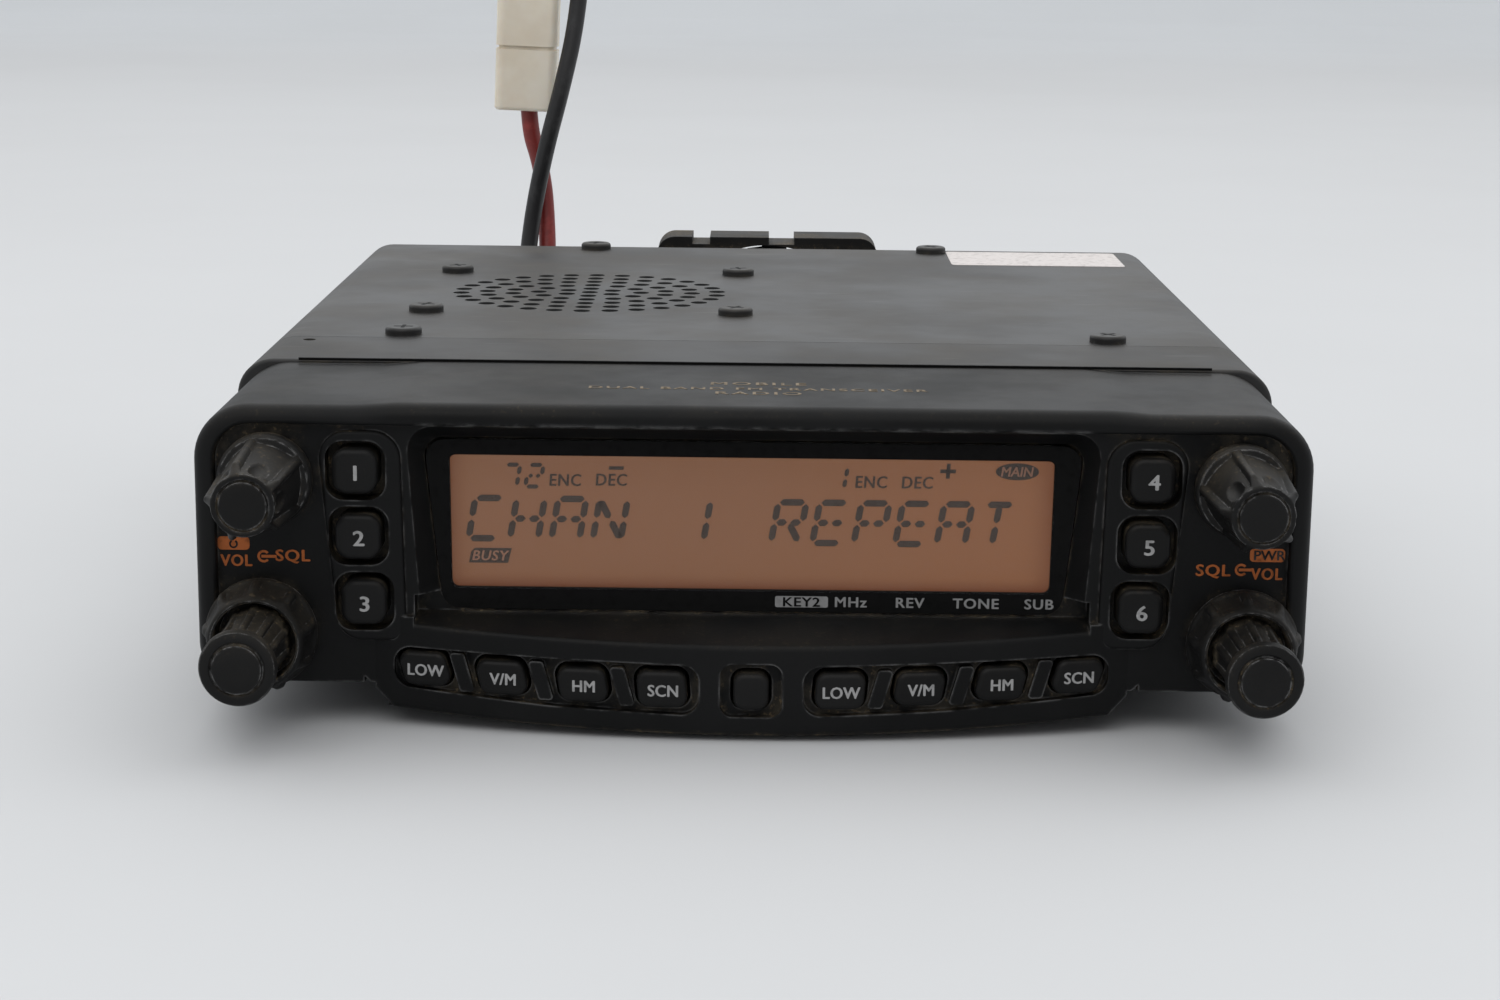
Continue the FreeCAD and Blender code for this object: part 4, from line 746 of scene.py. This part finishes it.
def panel_legends():
    """The orange legends between the knobs, and their round arrow marks."""
    inks = []
    for words, x, z in (("VOL", -64.7, 21.2), ("SQL", -57.6, 21.9), ("SQL", 57.7, 21.4), ("VOL", 64.4, 21.0)):
        wide = 0.92 if words == "VOL" else 1.1
        inks.append(moved(letters(words, 1.42, width=wide, bold=0.07, spacing=1.12), x, FACE - 0.002, z))
    for x, z in ((-61.25, 21.75), (61.2, 21.5)):
        arc = []
        for step in range(25):
            angle = math.radians(40 + 280 * step / 24)
            arc.append((x + 0.8 * math.cos(angle), z + 0.8 * math.sin(angle)))
        for step in range(24, -1, -1):
            angle = math.radians(40 + 280 * step / 24)
            arc.append((x + 0.5 * math.cos(angle), z + 0.5 * math.sin(angle)))
        dash = [(x - 0.3, z - 0.18), (x + 1.6, z - 0.18), (x + 1.6, z + 0.18), (x - 0.3, z + 0.18)]
        inks.append(moved(flat_shapes("arrow", [arc, dash], 0.03), 0, FACE - 0.002, 0))
    for x, z, wide in ((-65.0, 23.4, 4.0), (64.4, 23.4, 4.4)):
        left, right = x - wide / 2, x + wide / 2
        foot, head = z - LOZENGE_HALF, z + LOZENGE_HALF
        outline = rounded_outline(((left, foot), (right, foot), (right, head), (left, head)), 0.5, 4)
        inks.append(moved(flat_shapes("lozenge", [outline], INK_THICK), 0, FACE - 0.002, 0))
    piece("panel_legends", joined("panel_legends", inks), "front_panel", ORANGE_INK)
    power = moved(letters("PWR", 1.2, width=1.05, bold=0.04), 64.7, FACE - 0.05, 23.4)
    symbol = []
    for step in range(21):
        angle = math.radians(120 + 300 * step / 20)
        symbol.append((-65.0 + 0.55 * math.cos(angle), 23.3 + 0.55 * math.sin(angle)))
    for step in range(20, -1, -1):
        angle = math.radians(120 + 300 * step / 20)
        symbol.append((-65.0 + 0.33 * math.cos(angle), 23.3 + 0.33 * math.sin(angle)))
    mark = moved(flat_shapes("mark", [symbol], 0.03), 0, FACE - 0.05, 0)
    inverse = joined("panel_legends_inverse", [power, mark])
    piece("panel_legends_inverse", inverse, "front_panel", PANEL)


TOP_LINES = (
    ("top_line_1", "MOBILE", 1.9, 18.0),
    ("top_line_2", "DUAL BAND FM TRANSCEIVER", 1.6, 14.2),
    ("top_line_3", "RADIO", 1.9, 11.0),
)


def top_print():
    """Faded gold lines on the panel's top, and a blank label on the cover."""
    roof = span("panel_shell")[1].z
    for name, words, height, y in TOP_LINES:
        line = letters(words, height, width=1.16, bold=0.05, spacing=1.2, thickness=0.02)
        line.transform(Matrix.Rotation(-math.pi / 2, 4, "X"))
        piece(name, moved(line, 0.5, RIM + y, roof), "front_panel", GOLD_INK)
    label_corners = ((33.5, 0), (63.3, 0), (63.3, 18.0), (33.5, 18.0))
    sheet = flat_shapes("blank_label", [rounded_outline(label_corners, 0.8, 4)], 0.08)
    sheet.transform(Matrix.Rotation(-math.pi / 2, 4, "X"))
    piece("blank_label", moved(sheet, 0, RIM + 140.0, COVER_HIGH.z), "radio_body", LABEL)


SCREW_HEADS = ((-50.3, 56.4), (50.3, 56.4), (-28.6, 156.6), (30.8, 156.6))
SPEAKER_SCREWS = ((-49.7, 79.0), (-49.7, 124.0), (-3.1, 79.0), (-3.1, 124.0))


def screw_recesses():
    """A flat near-black cross on the head of each screw on the top cover: painted shade standing in for the
    cross recess.
    """
    crosses = []
    for number, (x, y) in enumerate(SCREW_HEADS + SPEAKER_SCREWS):
        arm, half = 1.35, 0.27
        outline = [(half, half), (half, arm), (-half, arm), (-half, half), (-arm, half), (-arm, -half)]
        outline += [(-half, -half), (-half, -arm), (half, -arm), (half, -half), (arm, -half), (arm, half)]
        cross = flat_shapes("cross", [outline], 0.02)
        cross.transform(Matrix.Rotation(-math.pi / 2, 4, "X"))
        cross.transform(Matrix.Rotation(0.7 * number, 4, "Z"))
        # Painted shade: a flat dark cross laid on the head in place of a real recess.
        crosses.append(moved(cross, x, RIM + y, HEAD_TOP - 0.005))
    piece("screw_recesses", joined("screw_recesses", crosses), "radio_body", RECESS_SHADE)


def panel_gasket():
    """A thin near-black strip in the joint between the panel and the housing: painted shadow of the gap, not
    a sealing part.
    """
    roof = span("panel_shell")[1].z
    strip = flat_shapes("strip", [[(-61.5, 0.0), (61.5, 0.0), (61.5, 0.34), (-61.5, 0.34)]], 0.4)
    # Painted shadow: the strip darkens the joint where only the gap's shade falls.
    piece("panel_gasket", moved(strip, 0, RIM + 33.1, roof - 0.02), "front_panel", SEAM_SHADOW_INK)


window_border()
screw_recesses()
panel_gasket()
display_marks()
key_legends()
panel_legends()
top_print()

# ---------------------------------------------------------------- knobs

AROUND = 180


def turned_form(name, rows):
    """A form turned about Y; a row is (y, radius), and a radius may be a function of the angle."""
    form = bmesh.new()
    rings = []
    for y, radius in rows:
        if radius == 0:
            rings.append([form.verts.new((0, y, 0))])
            continue
        ring = []
        for step in range(AROUND):
            angle = 2 * math.pi * step / AROUND
            reach = radius(angle) if callable(radius) else radius
            ring.append(form.verts.new((reach * math.cos(angle), y, reach * math.sin(angle))))
        rings.append(ring)
    for first, second in zip(rings, rings[1:]):
        for step in range(AROUND):
            after = (step + 1) % AROUND
            corners = [first[step % len(first)], first[after % len(first)]]
            corners += [second[after % len(second)], second[step % len(second)]]
            unique = list(dict.fromkeys(corners))
            form.faces.new(unique)
    bmesh.ops.recalc_face_normals(form, faces=form.faces)
    for face in form.faces:
        face.smooth = True
    mesh = bpy.data.meshes.new(name)
    form.to_mesh(mesh)
    form.free()
    mesh.set_sharp_from_angle(angle=math.radians(38))
    return mesh


def off_centre(angle, turn, count):
    """How far an angle is from the nearest of `count` places round the form, the first at `turn`."""
    pitch = 2 * math.pi / count
    return (angle - turn + pitch / 2) % pitch - pitch / 2


def bump(value, half):
    """A smooth hump, 1 at zero and 0 beyond half."""
    share = max(0.0, 1.0 - (value / half) ** 2)
    return share * share * (3 - 2 * share)


DIAL_FLATS = 5
DIAL_TURN = math.radians(68)
DIAL_FRONT, DIAL_BACK = -13.7, -2.0


def dial_radius(y):
    """The fluted body of an upper knob: five thin fins with flats between, each flat with an oval dimple."""
    share = min(1.0, max(0.0, (y - DIAL_FRONT) / (DIAL_BACK - DIAL_FRONT)))

    def radius(angle):
        aside = off_centre(angle, DIAL_TURN, DIAL_FLATS)
        fin = bump(abs(aside) - math.pi / DIAL_FLATS, 0.15)
        flat = (3.72 + 1.0 * share) / math.cos(aside) ** 0.5
        return flat + (4.98 + 0.66 * share - flat) * fin - dimple(aside, y)

    return radius


def dimple(aside, y):
    away = (aside * 4.4 / 1.35) ** 2 + ((y + 12.4) / 3.0) ** 2
    return 0.75 * max(0.0, 1 - away) ** 0.7


def dial_rim(y, reach):
    def radius(angle):
        aside = off_centre(angle, DIAL_TURN, DIAL_FLATS)
        fin = 0.62 * bump(abs(aside) - math.pi / DIAL_FLATS, 0.19) * max(0.0, y + 15.4)
        return reach + fin - dimple(aside, y)

    return radius


def spread(first, last, count):
    return [first + (last - first) * index / (count - 1) for index in range(count)]


def dial_knob(hand):
    rows = [(-15.9, 0), (-15.95, 1.2), (-15.95, 2.55), (-15.82, 2.88), (-15.3, 3.0), (-15.3, 3.12)]
    rows += [(-15.62, 3.2), (-15.74, 3.42), (-15.74, 3.62), (-15.62, 3.82)]
    rows += [(y, dial_rim(y, 3.92)) for y in (-15.3, -14.8)]
    rows += [(y, dial_rim(y, 3.88)) for y in (-14.5, -14.2, -13.95)]
    rows += [(y, dial_radius(y)) for y in spread(DIAL_FRONT, DIAL_BACK, 42)]
    rows += [(-1.75, 5.5), (-1.45, 5.52), (-1.2, 5.8), (-0.8, 5.9), (0.35, 5.9), (0.6, 5.75)]
    rows += [(0.6, 4.1), (-2.2, 4.1), (-2.2, 2.05), (-13.0, 2.05), (-13.0, 0)]
    knob_piece("dial_knob", hand, rows, KNOBS)


def knob_piece(kind, hand, rows, material):
    """Put a turned form on its axis and let it stand for the CAD knob."""
    node = f"{kind}_{hand}"
    low, high = span(("dial" if kind == "dial_knob" else "volume") + f"_shaft_{hand}")
    middle = (low + high) / 2
    mesh = moved(turned_form(node, rows), middle.x, RIM, middle.z)
    body = {"dial_knob": "dial_", "volume_knob": "volume_", "squelch_ring": "squelch_"}[kind] + hand
    item = piece(node, mesh, body, material)
    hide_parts(node)


VOLUME_RIBS = 10


def waist(y):
    """The ribbed waist of a lower knob, wider towards its foot."""
    share = (y + 14.4) / 10.2
    base = 3.62 + 0.75 * share**2

    def radius(angle):
        aside = abs(off_centre(angle, math.radians(20), VOLUME_RIBS))
        rib = bump(aside, 0.15) * min(1.0, share * 5) * (0.72 - 0.50 * share)
        return base - 0.12 + rib

    return radius


def volume_knob(hand):
    rows = [(-18.35, 0), (-18.4, 1.4), (-18.4, 2.65), (-18.3, 2.98), (-17.8, 3.08), (-17.8, 3.2)]
    rows += [(-18.0, 3.3), (-18.1, 3.5), (-18.05, 4.1), (-17.85, 4.5), (-17.45, 4.68), (-16.6, 4.68)]
    rows += [(-16.0, 4.5), (-15.3, 4.1), (-14.8, 3.78)]
    rows += [(y, waist(y)) for y in spread(-14.4, -4.2, 34)]
    rows += [(-4.0, 4.2), (-4.0, 2.05), (-15.6, 2.05), (-15.6, 0)]
    knob_piece("volume_knob", hand, rows, KNOBS)


RING_RIBS = 9


def ring_side(y):
    """The outer ring's coned side: shallow bays between ribs that grow into rounded lugs."""
    share = (y + 5.3) / 3.9

    def radius(angle):
        aside = abs(off_centre(angle, math.radians(12), RING_RIBS))
        bay = 0.34 * bump(aside - math.pi / RING_RIBS, 0.24) * bump(share - 0.5, 0.62)
        lug = bump(aside, 0.11) * (0.16 + 0.42 * bump(share - 0.55, 0.5))
        return min(6.06 + 0.72 * share - bay + lug, 7.15)

    return radius


def squelch_ring(hand):
    rows = [(-3.0, 2.05), (-3.0, 4.95), (-4.6, 5.0), (-5.75, 5.08), (-6.1, 5.22), (-6.2, 5.45)]
    rows += [(-6.1, 5.68), (-5.8, 5.88)]
    rows += [(y, ring_side(y)) for y in spread(-5.3, -1.4, 18)]
    rows += [(-1.25, 6.9), (-0.95, 7.0), (-0.4, 7.0), (-0.4, 5.3), (0.4, 5.3), (0.6, 5.1)]
    rows += [(0.6, 3.0), (8.2, 3.0), (8.2, 2.05), rows[0]]
    knob_piece("squelch_ring", hand, rows, RINGS)


for hand in HANDS:
    dial_knob(hand)
    volume_knob(hand)
    squelch_ring(hand)

# ---------------------------------------------------------------- supply lead

RED_ROUTE = (
    (-40.4, 162.0, 15.0), (-40.4, 174.0, 15.0), (-40.3, 185.5, 19.0), (-40.1, 193.8, 28.0),
    (-40.3, 198.0, 39.5), (-41.3, 200.0, 51.0), (-44.6, 200.0, 61.0), (-43.3, 200.0, 98.0),
    (-41.9, 199.5, 110.0),
)
BLACK_ROUTE = (
    (-44.6, 162.0, 15.0), (-44.6, 174.0, 15.0), (-44.6, 185.5, 19.2), (-44.3, 192.6, 29.0),
    (-43.3, 195.4, 41.5), (-40.5, 194.3, 55.2), (-37.2, 193.6, 67.2), (-34.6, 195.8, 79.0),
    (-33.2, 198.2, 94.8), (-35.6, 199.5, 110.0),
)
WIRE_RADIUS = 1.6


def wire(name, route, material):
    """One supply wire on a smooth line through the air behind the radio."""
    curve = bpy.data.curves.new(name, "CURVE")
    curve.dimensions = "3D"
    curve.resolution_u = 12
    curve.bevel_depth = WIRE_RADIUS * MM
    curve.bevel_resolution = 5
    curve.use_fill_caps = True
    line = curve.splines.new("NURBS")
    line.points.add(len(route) - 1)
    for point, (x, y, z) in zip(line.points, route):
        point.co = (x * MM, (y + RIM) * MM, z * MM, 1.0)
    line.order_u = 3
    line.use_endpoint_u = True
    curve.materials.append(material)
    item = bpy.data.objects.new(name, curve)
    bpy.context.scene.collection.objects.link(item)
    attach(item, "radio_body")
    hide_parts(name)
    x, y, z = route[0]
    return item


wire("lead_red", RED_ROUTE, RED_WIRE)
wire("lead_black", BLACK_ROUTE, BLACK_WIRE)

# ---------------------------------------------------------------- floor, light and camera


def stage_material(name, near, far):
    """Pale cloth, a little bluer where it rises behind the table."""
    material, tree, shader = new_material(name)
    place = add(tree, "SeparateXYZ")
    feed(tree, place, Vector=add(tree, "TexCoord").outputs["Object"])
    tone = blend_colour(tree, ramp(tree, place.outputs["Y"], 1.2, 2.0), near, far)
    soft = ramp(tree, noise(tree, 5.0, 5.0, 0.6), 0.3, 0.75)
    shaded = blend_colour(tree, maths(tree, "MULTIPLY", soft, 0.07), tone, grey(0.4))
    tree.links.new(shaded, shader.inputs["Base Color"])
    shader.inputs["Roughness"].default_value = 0.85
    shader.inputs["Specular IOR Level"].default_value = 0.2
    return material


def soft_box(name, place, aim, wide, tall, power, tone=(1, 1, 1)):
    light = bpy.data.lights.new(name, "AREA")
    light.shape = "RECTANGLE"
    light.size, light.size_y = wide, tall
    light.energy = power
    light.color = tone
    item = bpy.data.objects.new(name, light)
    item.location = place
    item.rotation_euler = (Vector(aim) - Vector(place)).to_track_quat("-Z", "Y").to_euler()
    bpy.context.scene.collection.objects.link(item)


LIGHT_POWER = 7.4
LIGHT_TONE = (1.0, 0.995, 0.985)
SKY_LOW = (0.52, 0.55, 0.58, 1)
SKY_HIGH = (1.30, 1.32, 1.34, 1)
SKY_FRONT = (0.50, 0.50, 0.51, 1)


def studio():
    """A pale table in front of a pale blue-grey wall, under two broad soft lights."""
    cloth = stage_material("table cloth", (0.59, 0.60, 0.61, 1), (0.70, 0.73, 0.755, 1))
    edge, lift, side = 1.55, 0.8, 4.0
    profile = [(-3.0, 0.0), (-0.6, 0.0), (0.5, 0.0)]
    for step in range(13):
        angle = math.pi / 2 * step / 18
        profile.append((edge + lift * math.sin(angle), lift * (1 - math.cos(angle))))
    corners = [(x, y, z) for y, z in profile for x in (-side, side)]
    faces = [(2 * row, 2 * row + 1, 2 * row + 3, 2 * row + 2) for row in range(len(profile) - 1)]
    mesh = bpy.data.meshes.new("floor")
    mesh.from_pydata(corners, [], faces)
    mesh.materials.append(cloth)
    floor = bpy.data.objects.new("floor", mesh)
    bpy.context.scene.collection.objects.link(floor)
    soft_box("top light", (0.1, 0.2, 1.4), (0, 0.0, 0), 1.8, 1.6, LIGHT_POWER, LIGHT_TONE)
    soft_box("front light", (-0.3, -1.1, 1.3), (0, -0.1, 0.0), 1.6, 1.0, LIGHT_POWER, LIGHT_TONE)
    world = bpy.data.worlds.new("room")
    bpy.context.scene.world = world
    world.use_nodes = True
    tree = world.node_tree
    ground = tree.nodes["Background"]
    direction = add(tree, "SeparateXYZ")
    feed(tree, direction, Vector=add(tree, "TexCoord").outputs["Generated"])
    behind = ramp(tree, direction.outputs["Y"], -0.55, 0.75)
    height = ramp(tree, direction.outputs["Z"], 0.10, 0.42)
    sky = blend_colour(tree, height, SKY_LOW, SKY_HIGH)
    tree.links.new(blend_colour(tree, behind, SKY_FRONT, sky), ground.inputs["Color"])
    ground.inputs["Strength"].default_value = 1.0


CAMERA_BEFORE_RIM = 342.18
CAMERA_SIDE, CAMERA_HEIGHT = 0.398, 103.80
CAMERA_TURN, CAMERA_DIP, CAMERA_ROLL = -0.134, 12.171, 0.658
SENSOR, FOCAL = 36.0, 67.66


def camera():
    lens = bpy.data.cameras.new("camera")
    lens.sensor_width = SENSOR
    lens.lens = FOCAL
    lens.clip_start = 0.01
    lens.clip_end = 20.0
    item = bpy.data.objects.new("camera", lens)
    turn = Matrix.Rotation(math.radians(-CAMERA_TURN), 4, "Z")
    dip = Matrix.Rotation(math.radians(90.0 - CAMERA_DIP), 4, "X")
    roll = Matrix.Rotation(math.radians(CAMERA_ROLL), 4, "Z")
    place = Vector((CAMERA_SIDE, RIM - CAMERA_BEFORE_RIM, CAMERA_HEIGHT)) * MM
    item.matrix_world = Matrix.Translation(place) @ turn @ dip @ roll
    bpy.context.scene.collection.objects.link(item)
    bpy.context.scene.camera = item


studio()
camera()
bpy.context.scene.view_settings.view_transform = "Standard"

# ---------------------------------------------------------------- final view layer update


bpy.context.view_layer.update()
